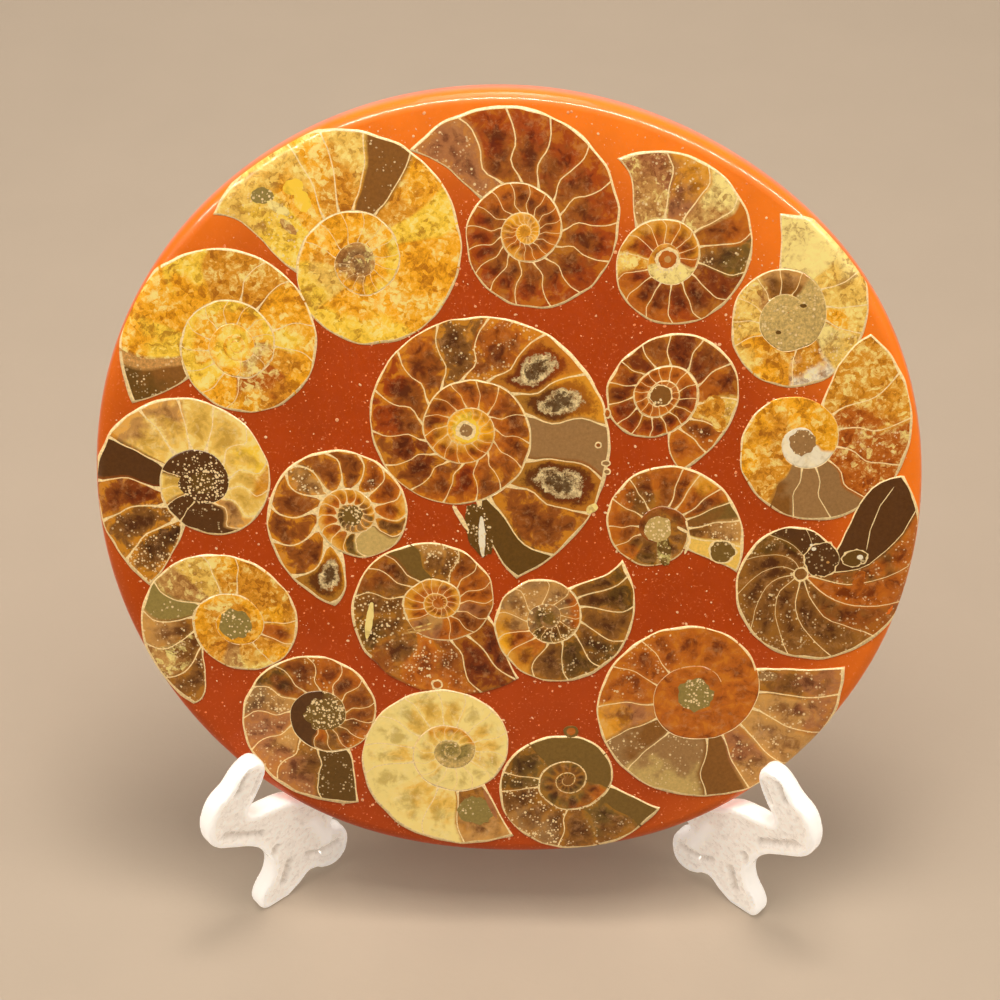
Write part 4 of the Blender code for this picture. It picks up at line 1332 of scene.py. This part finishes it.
class FOSSIL_OT_stand(bpy.types.Operator):
    """Build the two halves of the clear stand"""

    bl_idname = "fossil.stand"
    bl_label = "Stand"

    def execute(self, context):
        settings = context.scene.fossil_stand
        material = plastic_material(settings)
        for side in ("left", "right"):
            node_name = f"stand_{side}_half"
            piece = add_piece(f"{node_name}_moulding", stand_moulding(node_name, side, settings), [material])
            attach(piece, BODY)
            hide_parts(node_name)
        return {"FINISHED"}


# The stage. The camera: its lens, its place, how near it sees, how far it looks down and how far it is rolled over.
CAMERA_LENS = 86.4
CAMERA_PLACE = (-1.325, -268.4, 302.6)
CAMERA_NEAR = 10
CAMERA_DOWN = 41.5
CAMERA_ROLL = 0.85
FLOOR_SIZE = 1200
CEILING_COLOUR = "#FFF4E6"
WALL_COLOUR = "#5A5148"
LAMP_COLOUR = "#FFF3E4"
ROOM_STRENGTH = 0.4
# How much brighter the lit floor looks than the world would show its colour.
BACKDROP_GAIN = 3.2
# Lamps as name, place, what they point at, size and power.
LAMPS = (
    ("overhead", (0, -20, 560), (0, -20, 0), 260, 1.8),
    ("lamp", (20, 40, 500), (0, 0, 60), 100, 0.45),
    ("window", (-420, -300, 480), (0, 0, 60), 360, 0.42),
    ("left_fill", (-640, -170, 170), (0, 0, 40), 300, 1.4),
    ("right_fill", (640, -170, 170), (0, 0, 40), 300, 1.4),
    ("back_fill", (0, 640, 200), (0, 0, 60), 300, 0.9),
    ("strip", (0, -330, 560), (0, 0, 60), 1500, 26.0),
)
# The strip only glints along polished edges; this is its narrow side.
STRIP_WIDTH = 40
# Lamps that give light but leave no reflection in the polish.
UNSEEN_LAMPS = ("left_fill", "right_fill", "back_fill")


class FOSSIL_OT_stage(bpy.types.Operator):
    """Set out the floor, the lights and the camera"""

    bl_idname = "fossil.stage"
    bl_label = "Stage"

    def execute(self, context):
        scene = context.scene
        scene.view_settings.view_transform = "Standard"
        bm = bmesh.new()
        bmesh.ops.create_grid(bm, x_segments=1, y_segments=1, size=FLOOR_SIZE / 2)
        floor = add_piece("floor", bm, [floor_material(scene.fossil_stage)])

        world = bpy.data.worlds.new("soft_room")
        world.use_nodes = True
        tree = world.node_tree
        # A bright ceiling over dim walls; the view past the floor's edge is as pale as the floor.
        facing = node(tree, "SeparateXYZ", {"Vector": node(tree, "TexCoord").outputs["Generated"]})
        height = node(
            tree, "MapRange", {"Value": facing.outputs["Z"], "From Min": 0.02, "From Max": 0.5},
            interpolation_type="SMOOTHSTEP",
        )
        room = node(
            tree, "Mix", {"Factor": height, "A": linear(WALL_COLOUR), "B": linear(CEILING_COLOUR)}, data_type="RGBA",
        )
        backdrop = [part * BACKDROP_GAIN for part in scene.fossil_stage.floor[:3]] + [1]
        seen = node(tree, "LightPath").outputs["Is Camera Ray"]
        shown = node(tree, "Mix", {"Factor": seen, "A": room, "B": backdrop}, data_type="RGBA")
        feed(tree, tree.nodes["Background"], {"Color": shown, "Strength": ROOM_STRENGTH})
        scene.world = world
        for name, place, aim, size, power in LAMPS:
            light = bpy.data.lights.new(name, "AREA")
            light.shape = "SQUARE"
            light.size = size * MM
            light.energy = power
            light.color = linear(LAMP_COLOUR)[:3]
            lamp = bpy.data.objects.new(name, light)
            lamp.location = Vector(place) * MM
            lamp.rotation_euler = (Vector(aim) - Vector(place)).to_track_quat("-Z", "Y").to_euler()
            lamp.visible_glossy = name not in UNSEEN_LAMPS
            lamp.visible_camera = False
            if name == "strip":
                light.shape = "RECTANGLE"
                light.size_y = STRIP_WIDTH * MM
                lamp.visible_diffuse = lamp.visible_transmission = False
            scene.collection.objects.link(lamp)

        camera = bpy.data.cameras.new("camera")
        camera.lens = CAMERA_LENS
        camera.clip_start = CAMERA_NEAR * MM
        eye = bpy.data.objects.new("camera", camera)
        eye.matrix_world = (
            Matrix.Translation(Vector(CAMERA_PLACE) * MM)
            @ Matrix.Rotation(math.radians(90 - CAMERA_DOWN), 4, "X")
            @ Matrix.Rotation(math.radians(CAMERA_ROLL), 4, "Z")
        )
        scene.collection.objects.link(eye)
        scene.camera = eye
        return {"FINISHED"}


class FOSSIL_PT_panel(bpy.types.Panel):
    """Lists the pieces and their settings"""

    bl_label = "Ammonite Disc"
    bl_idname = "FOSSIL_PT_panel"
    bl_space_type = "VIEW_3D"
    bl_region_type = "UI"
    bl_category = "Fossils"

    def draw(self, context):
        layout = self.layout
        for group in (getattr(context.scene, name) for name in GROUPS):
            box = layout.box()
            for name in group.bl_rna.properties.keys():
                if name not in ("rna_type", "name"):
                    box.prop(group, name)
        for operator in OPERATORS:
            layout.operator(operator.bl_idname)


GROUPS = {
    "fossil_disc": DiscSettings,
    "fossil_stones": StoneColours,
    "fossil_stand": StandSettings,
    "fossil_stage": StageSettings,
}
OPERATORS = (FOSSIL_OT_stage, FOSSIL_OT_resin_disc, FOSSIL_OT_ammonite_slices, FOSSIL_OT_stand)


def register():
    for group in GROUPS.values():
        bpy.utils.register_class(group)
    for operator in OPERATORS:
        bpy.utils.register_class(operator)
    bpy.utils.register_class(FOSSIL_PT_panel)
    for name, group in GROUPS.items():
        setattr(bpy.types.Scene, name, bpy.props.PointerProperty(type=group))


def unregister():
    for name in GROUPS:
        delattr(bpy.types.Scene, name)
    bpy.utils.unregister_class(FOSSIL_PT_panel)
    for operator in reversed(OPERATORS):
        bpy.utils.unregister_class(operator)
    for group in reversed(GROUPS.values()):
        bpy.utils.unregister_class(group)


def main():
    register()
    bpy.ops.fossil.stage()
    bpy.ops.fossil.resin_disc()
    bpy.ops.fossil.ammonite_slices()
    bpy.ops.fossil.stand()


if __name__ == "__main__":
    main()
